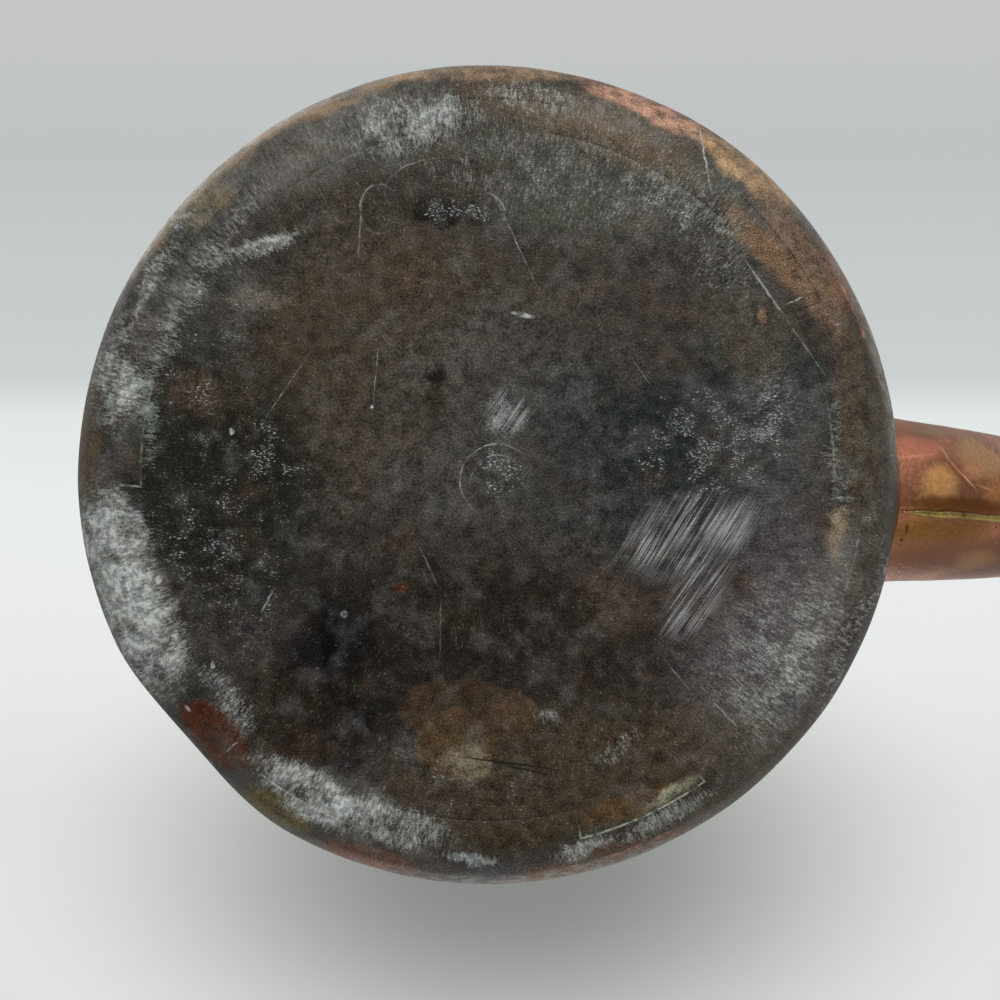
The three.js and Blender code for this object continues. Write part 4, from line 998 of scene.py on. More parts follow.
wall_profile = [(radius, foot_height(radius)) for radius in CRAMP_RADII]
foot_start = math.asin((CRAMP_ROOT + CRAMP_DEPTH - BODY_RADIUS + FOOT_REACH) / FOOT_REACH)
for step in range(FOOT_STEPS):
    turn = foot_start + (math.pi / 2 - foot_start) * step / FOOT_STEPS
    radius = BODY_RADIUS - FOOT_REACH + FOOT_REACH * math.sin(turn)
    wall_profile.append((radius, FOOT_HEIGHT * (1 - math.cos(turn))))
for step in range(int((WALL_HEIGHT - FOOT_HEIGHT) / WALL_STEP) + 1):
    height = FOOT_HEIGHT + WALL_STEP * step
    wall_profile.append((wall_radius(height), height))
bm = bmesh.new()
turned(bm, wall_profile, CRAMP_COUNT * CRAMP_COLUMNS)
slant_columns(bm)
spare = []
for face in bm.faces:
    middle = face.calc_center_median()
    notch = middle.z < foot_height(CRAMP_ROOT + CRAMP_DEPTH) * MM and in_a_tab(middle)
    if notch or (middle.x > 0 and across_hole(middle).length < 1):
        spare.append(face)
bmesh.ops.delete(bm, geom=spare, context="FACES")
for vert in bm.verts:
    across = across_hole(vert.co)
    if vert.is_boundary and vert.co.x > 0 and 0.8 < across.length < 1.2:
        across.normalize()
        vert.co.y = across.x * SPOUT_HOLE[0] * MM
        vert.co.z = (SPOUT_ROOT_HEIGHT + across.y * SPOUT_HOLE[1]) * MM
        vert.co.x = math.sqrt((wall_radius(vert.co.z / MM) * MM) ** 2 - vert.co.y ** 2)
face_away(bm, Vector((0, 0, 0.05)))
years_of_use(bm)
wall = make_piece("wall_sheet", bm, blackened, tinned)
give_thickness(wall, SHEET, 0.12)
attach(wall, "kettle")
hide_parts("body_wall")


# Shoulder. A dome raised from one sheet and planished, its skirt lapped over the wall and brazed.
# Away from the fire the copper is only brown with age, and rubbed pink on its edges.

SHOULDER_HEIGHT = 50
SHOULDER_LAP = 8
COLLAR_OUTER = 48
SEAT_GAP = 0.3
SHOULDER_HAMMER = (0.14, 10)  # depth and size of its marks
SHOULDER_COLUMNS = 288
SHOULDER_FOOT = WALL_TOP_RADIUS + SEAT_GAP + SHEET
SHOULDER_TOP = WALL_HEIGHT + SHOULDER_HEIGHT


def hammered(bm, depth, size, keep):
    """Leaves shallow hammer marks, both in millimetres, as far as keep gives 1 at a place."""
    bm.normal_update()
    shifts = []
    for vert in bm.verts:
        from_middle = noise.voronoi(vert.co / (size * MM))[0][0]
        dish = min(1.0, from_middle / 0.6) ** 2 - 0.5
        shifts.append(vert.normal * dish * depth * keep(vert.co / MM) * MM)
    for vert, shift in zip(bm.verts, shifts):
        vert.co += shift


def shoulder_height(radius):
    share = min(1.0, max(0.0, (radius - COLLAR_OUTER) / (SHOULDER_FOOT - COLLAR_OUTER)))
    return WALL_HEIGHT + SHOULDER_HEIGHT * math.sqrt(1 - share * share)


aged = new_material("aged_copper")
tree = aged.node_tree
colour, rough, relief = copper_skin(tree, add(tree, "TexCoord")["Object"])
surface(tree, colour, 0.95, rough, relief, 0.05)

shoulder_profile = []
for step in range(5):
    height = WALL_HEIGHT - SHOULDER_LAP * (1 - step / 5)
    shoulder_profile.append((wall_radius(height) + SEAT_GAP + SHEET, height))
for step in range(41):
    turn = math.radians(90) * step / 40
    radius = COLLAR_OUTER + (SHOULDER_FOOT - COLLAR_OUTER) * math.cos(turn)
    shoulder_profile.append((radius, WALL_HEIGHT + SHOULDER_HEIGHT * math.sin(turn)))
bm = bmesh.new()
turned(bm, shoulder_profile, SHOULDER_COLUMNS)
face_away(bm, Vector((0, 0, 0.1)))
hammered(bm, *SHOULDER_HAMMER,
         lambda p: smoothstep(p.z, 100, 106) * smoothstep(math.hypot(p.x, p.y), 52, 62))
shoulder = make_piece("shoulder_sheet", bm, aged, tinned)
give_thickness(shoulder, SHEET, 0.3)
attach(shoulder, "kettle")
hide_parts("shoulder_dome")


# Collar. A turned ring brazed into the shoulder's mouth, with a flange on the dome, two fine lines
# cut round it and a rolled lip that the lid's brim rests on.

MOUTH_RADIUS = 46.5
COLLAR_HEIGHT = 14
COLLAR_DROP = 5
COLLAR_FLANGE = 6
COLLAR_WALL = 1.5
COLLAR_FILLET = 2
FLANGE_EDGE = 0.75  # radius of the flange's rounded edge
LIP_RADIUS = 2
LIP_TOP = SHOULDER_TOP + COLLAR_HEIGHT
LINES = (SHOULDER_TOP + 6, SHOULDER_TOP + 8)
LINE_HALF_WIDTH = 0.4
LINE_DEPTH = 0.3


def arc(middle, radius, start, end, steps):
    """Points on an arc, from one direction to another, in degrees."""
    turns = [math.radians(start + (end - start) * step / steps) for step in range(steps + 1)]
    return [(middle[0] + radius * math.cos(turn), middle[1] + radius * math.sin(turn))
            for turn in turns]


flange_edge = COLLAR_OUTER + COLLAR_FLANGE
flange_top = SHOULDER_TOP + SEAT_GAP + COLLAR_WALL
collar_profile = [
    (MOUTH_RADIUS, SHOULDER_TOP - COLLAR_DROP),
    (COLLAR_OUTER, SHOULDER_TOP - COLLAR_DROP),
    (COLLAR_OUTER, SHOULDER_TOP + SEAT_GAP),
]
for radius in (50, 52, flange_edge):
    collar_profile.append((radius, shoulder_height(radius) + SEAT_GAP))
flange_middle = shoulder_height(flange_edge) + SEAT_GAP + FLANGE_EDGE
collar_profile += arc((flange_edge, flange_middle), FLANGE_EDGE, -30, 90, 4)
collar_profile += [(52, flange_top - 0.2), (50.6, flange_top)]
collar_profile += arc((COLLAR_OUTER + COLLAR_FILLET, flange_top + COLLAR_FILLET), COLLAR_FILLET,
                      -90, -180, 5)
for line in LINES:
    collar_profile += [(COLLAR_OUTER, line - LINE_HALF_WIDTH), (COLLAR_OUTER - LINE_DEPTH, line),
                       (COLLAR_OUTER, line + LINE_HALF_WIDTH)]
collar_profile += arc((COLLAR_OUTER, LIP_TOP - LIP_RADIUS), LIP_RADIUS, -90, 90, 10)
collar_profile += [(MOUTH_RADIUS + 0.4, LIP_TOP), (MOUTH_RADIUS, LIP_TOP - 0.4)]
bm = bmesh.new()
turned(bm, collar_profile, 192, closed=True)
collar = make_piece("mouth_ring", bm, aged)
round_edges(collar, 0.2)
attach(collar, "kettle")
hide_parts("mouth_collar")


# Brass. Cast or drawn, dulled to olive brown, with darker tarnish in its hollows and bright
# yellow where hands and the handle's eyes rub it.


def brass_skin(tree, place):
    """Colour, roughness and relief of brass that has dulled."""
    edge = add(tree, "Attribute", attribute_name="edge")["Fac"]
    standing = add(tree, "MapRange", {"Value": edge, "From Min": 0.08, "From Max": 0.5})[0]
    worn = uneven(tree, place, 3, 0.3, 0.6)
    rubbed = add(tree, "Math", {0: standing, 1: worn}, operation="MULTIPLY")[0]
    dirty = add(tree, "MapRange", {"Value": edge, "From Min": -0.03, "From Max": -0.3})[0]
    colour = linear("#8f7a45")
    for amount, tint in (
        (uneven(tree, place, 13, 0.42, 0.62, 0.8), "#6f5a34"),
        (uneven(tree, place, 7, 0.5, 0.68, 0.6, start=3.0), "#a68d4f"),
        (uneven(tree, place, 3, 0.58, 0.7, 0.7, start=6.0), "#4a3a24"),
        (rubbed, "#c9ad66"),
        (dirty, "#2d2417"),
    ):
        colour = add(tree, "Mix", {0: amount, 6: colour, 7: linear(tint)}, data_type="RGBA")[2]
    grain = uneven(tree, place, 0.9, 0.3, 0.7, octaves=3.0)
    light = add(tree, "MapRange", {"Value": grain, "To Min": 0.86, "To Max": 1.1})[0]
    colour = add(tree, "HueSaturation", {"Color": colour, "Value": light})[0]
    rough = add(tree, "MapRange", {"Value": grain, "To Min": 0.34, "To Max": 0.5})[0]
    return colour, rough, grain


brass = new_material("aged_brass")
tree = brass.node_tree
colour, rough, relief = brass_skin(tree, add(tree, "TexCoord")["Object"])
surface(tree, colour, 0.95, rough, relief, 0.03)


# Spout. A tapering gooseneck rolled from sheet on an oval section, bent, and brazed into the wall.
# Its lap runs along the underside. The heat has left it red brown and golden, darker at the seam.

SPOUT_ROOT_HALF_WIDTH = 28.5
SPOUT_ROOT_HALF_HEIGHT = 31
SPOUT_TIP_RADIUS = 13
SPOUT_REACH = 108
SPOUT_RISE = 113
SPOUT_SHEET = 1.3
SPOUT_SIDES = 72
SPOUT_RINGS = 110
SPOUT_HAMMER = (0.12, 9)
SPOUT_STATIONS = [  # shares of the reach and rise, and of the girth
    (-0.16, -0.035, 0.9), (0, 0, 0.82), (0.12, 0.04, 0.755), (0.39, 0.2, 0.63),
    (0.6, 0.5, 0.41), (0.77, 0.82, 0.16), (1, 1, 0),
]
GIRTH_TENSION = 0.3
SPOUT_ROOT = wall_radius(SPOUT_ROOT_HEIGHT)
spout_points = [Vector((SPOUT_ROOT + SPOUT_REACH * reach, 0, SPOUT_ROOT_HEIGHT + SPOUT_RISE * rise))
                for reach, rise, girth in SPOUT_STATIONS]
spout_girths = [Vector((SPOUT_TIP_RADIUS + (SPOUT_ROOT_HALF_WIDTH - SPOUT_TIP_RADIUS) * girth,
                        SPOUT_TIP_RADIUS + (SPOUT_ROOT_HALF_HEIGHT - SPOUT_TIP_RADIUS) * girth, 0))
                for reach, rise, girth in SPOUT_STATIONS]


def through(points, share, tension=None):
    """A place on the Catmull-Rom curve through points: centripetal, or with a tension."""
    place = min(1.0, max(0.0, share)) * (len(points) - 1)
    start = min(int(place), len(points) - 2)
    part = place - start
    b, c = points[start], points[start + 1]
    a = points[start - 1] if start > 0 else 2 * b - c
    d = points[start + 2] if start + 2 < len(points) else 2 * c - b
    if tension is None:
        before, between, after = (math.sqrt((q - p).length) for p, q in ((a, b), (b, c), (c, d)))
        leave = ((b - a) / before - (c - a) / (before + between) + (c - b) / between) * between
        arrive = ((c - b) / between - (d - b) / (between + after) + (d - c) / after) * between
    else:
        leave, arrive = tension * (c - a), tension * (d - b)
    return (b + leave * part + (3 * (c - b) - 2 * leave - arrive) * part ** 2
            + (2 * (b - c) + leave + arrive) * part ** 3)


def spout_section(share):
    """Centre, upward and forward directions, half width and half height, in millimetres."""
    centre = through(spout_points, share)
    forward = through(spout_points, share + 1e-3) - through(spout_points, share - 1e-3)
    forward.normalize()
    girth = through(spout_girths, share, GIRTH_TENSION)
    return centre, Vector((-forward.z, 0, forward.x)), forward, girth.x, girth.y


def turns_round(count):
    """A number of equal steps round a circle."""
    return [2 * math.pi * step / count for step in range(count)]


def spout_skin(share, turn, lift=0.0):
    """The skin's point at a turn from the spout's lowest line, and the direction outwards there."""
    centre, up, forward, half_width, half_height = spout_section(share)
    side = Vector((0, 1, 0))
    outward = (side * math.sin(turn) / half_width - up * math.cos(turn) / half_height).normalized()
    point = centre + side * half_width * math.sin(turn) - up * half_height * math.cos(turn)
    return point + outward * lift, outward


def lofted(bm, rings):
    """Draws a ring of points on through others, given in millimetres. A repeated ring closes it."""
    side = bm.verts.layers.int.new("side")
    first = bmesh.ops.create_circle(bm, segments=len(rings[0]), radius=MM)["verts"]
    for place, (vert, point) in enumerate(zip(first, rings[0])):
        vert[side] = place
        vert.co = point * MM
    edges = list({edge for vert in first for edge in vert.link_edges})
    for ring in rings[1:]:
        drawn = bmesh.ops.extrude_edge_only(bm, edges=edges)["geom"]
        verts = {item for item in drawn if isinstance(item, bmesh.types.BMVert)}
        for vert in verts:
            vert.co = ring[vert[side]] * MM
        edges = [item for item in drawn
                 if isinstance(item, bmesh.types.BMEdge) and set(item.verts) <= verts]
    bmesh.ops.remove_doubles(bm, verts=bm.verts, dist=1e-7)
    bmesh.ops.recalc_face_normals(bm, faces=bm.faces)


def close_ends(bm):
    bmesh.ops.holes_fill(bm, edges=[edge for edge in bm.edges if edge.is_boundary], sides=0)
    bmesh.ops.recalc_face_normals(bm, faces=bm.faces)


def spout_root_share(turn):
    """Where the skin comes out of the wall at a turn."""
    low, high = 0.0, 0.45
    for halving in range(24):
        middle = (low + high) / 2
        point = spout_skin(middle, turn)[0]
        if math.hypot(point.x, point.y) > wall_radius(point.z) + SEAT_GAP:
            high = middle
        else:
            low = middle
    return high


SPOUT_SHOWN = 0.028  # m above the base of the part that the photograph shows
SPOUT_PATCH_REACH = 0.025
FINE_MARK = 3  # px; marks finer than this keep their outline
SPOUT_STAINS_AND_PAINTED_LIGHT = [  # as for the base; the lap's pale edge is painted highlight, its shade painted shade
    ("root shade", (905, 455), (18, 60), 0, 0.5, "#96654a", 0.5),
    ("pink top", (922, 446), (30, 12), 0, 0.5, "#b3705a", 0.75),
    ("golden bloom", (938, 483), (20, 17), 0, 0.5, "#c4915a", 0.8),
    ("tan beyond the lap", (992, 455), (34, 22), 30, 0.2, "#9a744f", 0.8),
    ("pink by the lap", (978, 470), (12, 8), 20, 0.5, "#b37a5c", 0.5),
    ("golden under the seam", (932, 532), (60, 14), 0, 0.5, "#5d3f19", 0.9),
    ("dark by the seam", (960, 506), (52, 8), 4, 0.5, "#5f3a16", 0.85),
    ("darker further out", (985, 506), (30, 7), 6, 0.4, "#5a3316", 0.7),
    ("low purple", (936, 557), (66, 18), -3, 0.5, "#674430", 0.85),
    ("tan low end", (990, 562), (26, 12), 0, 0.5, "#9a7450", 0.6),
    ("olive top edge", (960, 431), (46, 6), 8, 0.4, "#8c6c4c", 0.7),
    # Painted highlight along the lap's edge, and painted shade beside it.
    ("lap edge, upper", (949, 453), (9, 1.1), 62, 0.5, "#c2966c", 0.5),
    ("lap edge, middle", (958, 467), (9, 1.1), 50, 0.5, "#c2966c", 0.6),
    ("lap edge, lower", (971, 480), (11, 1.1), 45, 0.5, "#cda078", 0.7),
    ("lap edge, end", (992, 488), (12, 1.1), 18, 0.5, "#c2966c", 0.5),
    ("lap's shade", (961, 474), (24, 2.2), 52, 0.6, "#7a4a34", 0.5),
    ("rub line", (916, 456), (20, 1.2), -6, 0.5, "#c08a6c", 0.45),
    ("black line", (904.5, 529), (1.4, 5), 0, 0.5, "#23180f", 0.8),
    ("black dot", (900, 540), (1.8, 1.8), 0, 0.5, "#23180f", 0.8),
]

spout_copper = new_material("spout_copper")
tree = spout_copper.node_tree
place = add(tree, "TexCoord")["Object"]
wandering = wavering(tree, place, 12, 3)
colour, rough, relief = copper_skin(tree, place)
for name, pixel, radii, turn, softness, tint, strength in SPOUT_STAINS_AND_PAINTED_LIGHT:
    where = place if min(radii) < FINE_MARK else wandering
    spot = patch(tree, where, pixel, radii, turn, softness, SPOUT_SHOWN, SPOUT_PATCH_REACH)
    spot = add(tree, "Math", {0: spot, 1: strength}, operation="MULTIPLY")[0]
    colour = add(tree, "Mix", {0: spot, 6: colour, 7: linear(tint)}, data_type="RGBA")[2]
surface(tree, colour, 0.95, rough, relief, 0.05)

spout_turns = turns_round(SPOUT_SIDES)
root_shares = [spout_root_share(turn) for turn in spout_turns]
rings = []
for ring in range(SPOUT_RINGS + 1):
    out = ring / SPOUT_RINGS
    rings.append([spout_skin(root + (1 - root) * out, turn)[0]
                  for root, turn in zip(root_shares, spout_turns)])
bm = bmesh.new()
lofted(bm, rings)
face_away(bm, Vector((SPOUT_ROOT + 20, 0, 60)) * MM)
hammered(bm, *SPOUT_HAMMER, lambda p: smoothstep(p.x, SPOUT_ROOT + 3, SPOUT_ROOT + 14))
spout = make_piece("spout_sheet", bm, spout_copper, tinned)
give_thickness(spout, SPOUT_SHEET, 0.2)
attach(spout, "kettle")
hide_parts("spout_tube")


# Braze. The spout's root is run round with brass, which leaves a low, lumpy bead, and so is its
# seam, where the bead stands proud beside the lowest line.

ROOT_BEAD = 1.3  # radius
LAP_BEAD = 1.5  # across
SEAM_TURN = math.radians(12)
SEAM_ROOT_TURN = math.radians(8)  # it leaves the wall nearer the lowest line
SEAM_DRIFT = 75  # mm in which it moves away
SEAM_WIDTH = 2.2
SEAM_HEIGHT = 1.1
SEAM_START = 4
SEAM_STOP = 0.98
SEAM_RINGS = 140


def seam_turn(share):
    out = spout_section(share)[0].x - SPOUT_ROOT
    return SEAM_ROOT_TURN + (SEAM_TURN - SEAM_ROOT_TURN) * smoothstep(out, 0, SEAM_DRIFT)


def bead_rings(middles, outwards, along, widths, heights, sides=10):
    """Oval rings square to a line, with their widths and heights over it."""
    rings = []
    for middle, outward, forward, width, height in zip(middles, outwards, along, widths, heights):
        sideways = forward.cross(outward).normalized() * width / 2
        upright = outward * height / 2
        rings.append([middle + sideways * math.cos(turn) + upright * math.sin(turn)
                      for turn in turns_round(sides)])
    return rings


def bead_round(name, material, points, outwards, along, size, sides, wear=1.0):
    """A bead along a line of points that closes on itself."""
    rings = bead_rings(points, outwards, along, size, size, sides)
    bm = bmesh.new()
    lofted(bm, rings + rings[:1])
    return make_piece(name, bm, material, wear=wear)


def lumps(places, size, amount):
    """1 on average at each place, uneven over a size in millimetres."""
    return [1 + amount * noise.noise(place / size) for place in places]


root_points = [spout_skin(share, turn)[0] for share, turn in zip(root_shares, spout_turns)]
root_out = [Vector((point.x, point.y, 0)).normalized() * 0.6 + spout_skin(share, turn)[1] * 0.8
            for point, share, turn in zip(root_points, root_shares, spout_turns)]
count = len(root_points)
root_along = [(root_points[(i + 1) % count] - root_points[i - 1]).normalized()
              for i in range(count)]
root_size = [2 * ROOT_BEAD * lump for lump in lumps(root_points, 4, 0.3)]
braze = bead_round("spout_root_braze", spout_copper, root_points, root_out, root_along, root_size,
                   10, wear=-0.5)
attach(braze, "kettle")

seam_from = 0
while spout_skin(seam_from, seam_turn(seam_from))[0].x < SPOUT_ROOT + SEAM_START:
    seam_from += 0.002
seam_shares = [seam_from + (SEAM_STOP - seam_from) * ring / SEAM_RINGS
               for ring in range(SEAM_RINGS + 1)]
seam_points = [spout_skin(share, seam_turn(share), SEAT_GAP + SEAM_HEIGHT / 4)[0]
               for share in seam_shares]
seam_points = [point + Vector((0, 0.35 * noise.noise(point / 9), 0)) for point in seam_points]
seam_out = [spout_skin(share, seam_turn(share))[1] for share in seam_shares]
seam_along = [spout_section(share)[2] for share in seam_shares]
ends = [min(1.0, 0.25 + ring / 18, 0.25 + (SEAM_RINGS - ring) / 4)
        for ring in range(SEAM_RINGS + 1)]
wide = [SEAM_WIDTH * lump * end for lump, end in zip(lumps(seam_points, 6, 0.3), ends)]
high = [SEAM_HEIGHT * 1.4 * lump * end for lump, end in zip(lumps(seam_points, 4, 0.3), ends)]
bm = bmesh.new()
lofted(bm, bead_rings(seam_points, seam_out, seam_along, wide, high))
close_ends(bm)
seam_bead = make_piece("seam_bead", bm, brass, wear=-0.12)
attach(seam_bead, "kettle")
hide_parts("spout_seam")

lap_radius = wall_radius(WALL_HEIGHT - SHOULDER_LAP)
lap_foot = Vector((0, 0, WALL_HEIGHT - SHOULDER_LAP - 0.2))
lap_out = [Vector((math.cos(turn), math.sin(turn), 0)) for turn in turns_round(SHOULDER_COLUMNS)]
lap_points = [out * (lap_radius + 0.4) + lap_foot for out in lap_out]
lap_along = [Vector((-out.y, out.x, 0)) for out in lap_out]
lap_size = [LAP_BEAD * lump for lump in lumps(lap_points, 7, 0.45)]
lap_bead = bead_round("shoulder_lap_braze", aged, lap_points, lap_out, lap_along, lap_size, 8)
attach(lap_bead, "kettle")


# Spout lip. The tip is turned out over a wire.

LIP_WIRE = 1.4

centre, up, forward, half_width, half_height = spout_section(1)
lip_middle = centre - forward * LIP_WIRE
lip_out = [Vector((0, 1, 0)) * math.sin(turn) - up * math.cos(turn) for turn in spout_turns]
lip_points = [lip_middle + out * (half_width + SEAT_GAP / 2 + LIP_WIRE) for out in lip_out]
lip_along = [forward.cross(out) for out in lip_out]
lip_size = [2 * LIP_WIRE * lump for lump in lumps(lip_points, 6, 0.08)]
lip = bead_round("wired_lip", aged, lip_points, lip_out, lip_along, lip_size, 14)
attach(lip, "kettle")
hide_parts("spout_lip")


# Ears. Each is a brass plate formed to the shoulder with an upright lug, cast in one, fixed by
# three copper rivets. A pin through the lug, headed over a washer, carries the handle's eye.

LUG_INSET = WALL_TOP_RADIUS - 23
LUG_THICKNESS = 4
LUG_RISE = 17
LUG_EYE_RADIUS = 10
LUG_FOOT_HALF_WIDTH = 13
EAR_PLATE = 2.2
EAR_HALF_LENGTH = 15
EAR_HALF_WIDTH = 18
RIVETS = {"inner": (-9.9, 0), "left": (6.6, 10.4), "right": (6.6, -10.4)}  # from the lug's middle
RIVET_SHANK = 2.2
RIVET_HEAD = 4.2
RIVET_HEAD_HEIGHT = 2.4
RIVET_TAIL_HEIGHT = 1.8
RIVET_SET = 0.1  # between the sheet and the rivet's tail
RIVET_HAMMER = (0.35, 3.5)
PIN_HAMMER = (0.4, 4)
PLATE_SWELL = 2.4  # rise of the plate into its lug
PLATE_SWELL_REACH = 1.1
PLATE_RINGS = [1, 0.985, 0.95, 0.9]  # shares of the plate's size
PLATE_RINGS += [0.84 - 0.06 * ring for ring in range(10)] + [0.22, 0.14, 0.06]
PIN_RADIUS = 3.2
PIN_HEAD = 5.5
PIN_HEAD_HEIGHT = 3
WASHER_RADIUS = 7
WASHER_THICKNESS = 1.2
EYE_THICKNESS = 4.4
LUG_MIDDLE = LUG_INSET + LUG_THICKNESS / 2
PIVOT_HEIGHT = shoulder_height(LUG_MIDDLE) + LUG_RISE
EYE_INNER = LUG_INSET + LUG_THICKNESS + SEAT_GAP
EYE_OUTER = EYE_INNER + EYE_THICKNESS
WASHER_OUTER = EYE_OUTER + SEAT_GAP + WASHER_THICKNESS


def on_shoulder(x, y, lift):
    """A point over the shoulder by a lift, and the direction square to it there."""
    radius = math.hypot(x, y)
    slope = shoulder_height(radius - 0.5) - shoulder_height(radius + 0.5)
    normal = Vector((slope * x / radius, slope * y / radius, 1)).normalized()
    return Vector((x, y, shoulder_height(radius))) + normal * lift, normal


def plate_swell(x, y):
    """Rise of the ear's plate into its lug."""
    beside = max(0.0, abs(x - LUG_MIDDLE) - LUG_THICKNESS / 2)
    beyond = max(0.0, abs(y) - LUG_FOOT_HALF_WIDTH)
    return PLATE_SWELL * math.exp(-math.hypot(beside, beyond) / PLATE_SWELL_REACH)


def lug_outline(count):
    """Points round the lug from its foot, over the eye and down, as (y, height)."""
    outline = [(LUG_FOOT_HALF_WIDTH, PIVOT_HEIGHT - LUG_RISE)]
    for step in range(9):
        share = step / 8
        y = LUG_FOOT_HALF_WIDTH + (LUG_EYE_RADIUS - LUG_FOOT_HALF_WIDTH) * (1 - (1 - share) ** 2)
        outline.append((y, PIVOT_HEIGHT - LUG_RISE * 0.75 * (1 - share)))
    outline += arc((0, PIVOT_HEIGHT), LUG_EYE_RADIUS, 0, 90, count // 4)[1:]
    mirrored = [(-y, height) for y, height in reversed(outline[:-1])]
    foot = [(y, PIVOT_HEIGHT - LUG_RISE) for y in (-9, -4, 4, 9)]
    return outline + mirrored + foot


def stand(bm, normal, point):
    """Puts a form that lies along Z on a point, in millimetres, square to a direction."""
    turn = Vector((0, 0, 1)).rotation_difference(normal).to_matrix().to_4x4()
    bmesh.ops.transform(bm, matrix=Matrix.Translation(point * MM) @ turn, verts=bm.verts)


def finish_fitting(bm, name, node, material, end, width=0.0):
    """Turns a fitting to its end of the kettle and makes the piece."""
    if end == "rear":
        bmesh.ops.rotate(bm, verts=bm.verts, matrix=Matrix.Rotation(math.pi, 3, "Z"))
    piece = make_piece(name, bm, material)
    if width:
        round_edges(piece, width)
    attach(piece, "kettle")
    if node:
        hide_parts(node)
    return piece


for end in ("front", "rear"):
    plate_rings = []
    for size in PLATE_RINGS:
        ring = []
        for turn in turns_round(96):
            x = LUG_MIDDLE + EAR_HALF_LENGTH * size * math.cos(turn)
            y = EAR_HALF_WIDTH * size * math.sin(turn)
            lift = SEAT_GAP + EAR_PLATE - 0.5 * smoothstep(size, 0.93, 1.0) + plate_swell(x, y)
            ring.append(on_shoulder(x, y, lift)[0])
        plate_rings.append(ring)
    bm = bmesh.new()
    lofted(bm, plate_rings)
    lug_middle = Vector((LUG_MIDDLE, 0)) * MM
    inner_edges = [edge for edge in bm.edges if edge.is_boundary
                   and (edge.verts[0].co.xy - lug_middle).length < EAR_HALF_LENGTH * MM / 2]
    bmesh.ops.holes_fill(bm, edges=inner_edges, sides=0)
    bmesh.ops.recalc_face_normals(bm, faces=bm.faces)
    face_away(bm, Vector((LUG_MIDDLE - 20, 0, 100)) * MM)
    plate = finish_fitting(bm, end + "_ear_plate", end + "_ear", brass, end)
    give_thickness(plate, EAR_PLATE - 0.2, 0.4)

    outline = lug_outline(48)
    hole = [(PIN_RADIUS * math.cos(turn), PIVOT_HEIGHT + PIN_RADIUS * math.sin(turn)) for turn in
            (math.atan2(height - PIVOT_HEIGHT, y) for y, height in outline)]
    rings = []
    for x in (LUG_INSET, LUG_INSET + LUG_THICKNESS):
        rings.append([Vector((x, y, height)) for y, height in outline])
    for x in (LUG_INSET + LUG_THICKNESS, LUG_INSET):
        rings.append([Vector((x, y, height)) for y, height in hole])
    bm = bmesh.new()
    lofted(bm, rings + rings[:1])
    finish_fitting(bm, end + "_ear_lug", None, brass, end, 0.5)

    for place, (outward, sideways) in RIVETS.items():
        seat = SEAT_GAP + EAR_PLATE - 0.2
        tail = -SHEET - RIVET_SET
        outer = [(RIVET_HEAD * math.cos(turn), seat + RIVET_HEAD_HEIGHT * math.sin(turn) ** 0.8)
                 for turn in (math.radians(9 * step) for step in range(10))]
        inner = [(RIVET_HEAD * math.cos(turn), tail - RIVET_TAIL_HEIGHT * math.sin(turn))
                 for turn in (math.radians(15 * step) for step in range(6, -1, -1))]
        profile = inner + [(RIVET_SHANK, tail), (RIVET_SHANK, seat)]
        profile += outer + [(0, seat + RIVET_HEAD_HEIGHT)]
        bm = bmesh.new()
        turned(bm, profile, 36)
        hammered(bm, *RIVET_HAMMER, lambda p: smoothstep(p.z, 3, 4))
        point, normal = on_shoulder(LUG_MIDDLE + outward, sideways, 0)
        stand(bm, normal, point)
        name = "{}_rivet_{}".format(end, place)
        node = "{}_ear_rivet_{}".format(end, place)
        finish_fitting(bm, name, node, aged, end, 0.25)

    inner_seat = LUG_INSET - SEAT_GAP
    outer_seat = WASHER_OUTER + SEAT_GAP
    rise = [(PIN_HEAD * math.cos(turn), PIN_HEAD_HEIGHT * math.sin(turn))
            for turn in (math.radians(9 * step) for step in range(10))]
    profile = [(radius, inner_seat - height) for radius, height in reversed(rise)]
    profile += [(PIN_RADIUS, inner_seat), (PIN_RADIUS, outer_seat)]
    profile += [(radius, outer_seat + height) for radius, height in rise]
    profile += [(0, outer_seat + PIN_HEAD_HEIGHT)]
    bm = bmesh.new()
    turned(bm, profile, 48)
    hammered(bm, *PIN_HAMMER, lambda p: 1)
    stand(bm, Vector((1, 0, 0)), Vector((0, 0, PIVOT_HEIGHT)))
    finish_fitting(bm, end + "_pin", end + "_pivot_pin", brass, end, 0.3)

    bm = bmesh.new()
    turned(bm, [(PIN_RADIUS + 0.2, EYE_OUTER + SEAT_GAP), (WASHER_RADIUS, EYE_OUTER + SEAT_GAP),
                (WASHER_RADIUS, WASHER_OUTER), (PIN_RADIUS + 0.2, WASHER_OUTER)], 48, closed=True)
    stand(bm, Vector((1, 0, 0)), Vector((0, 0, PIVOT_HEIGHT)))
    finish_fitting(bm, end + "_washer", end + "_pivot_washer", brass, end, 0.25)


# Handle. A copper strap, thick and narrow at its forged eyes, thin, wide and crowned at the grip,
# hollow behind. It turns on the pins.

EYE_RADIUS = 9
STRAP_END = (15, 4)  # width and thickness
STRAP_GRIP = (28, 2.4)
GRIP_CROWN = 6
EDGE_THINNING = 0.35  # share of its thickness that the strap loses at its edges
HANDLE_LEG = 26
ARCH_RISE = 100
ARCH_HALF_WIDTH = EYE_INNER + EYE_THICKNESS / 2
STRAP_START = 4.8  # of the strap above the pivot, inside the eye
STRAP_STEPS = 14  # across it
LEG_STEPS = 16
ARCH_STEPS = 120
STRAP_HAMMER = (0.16, 9)


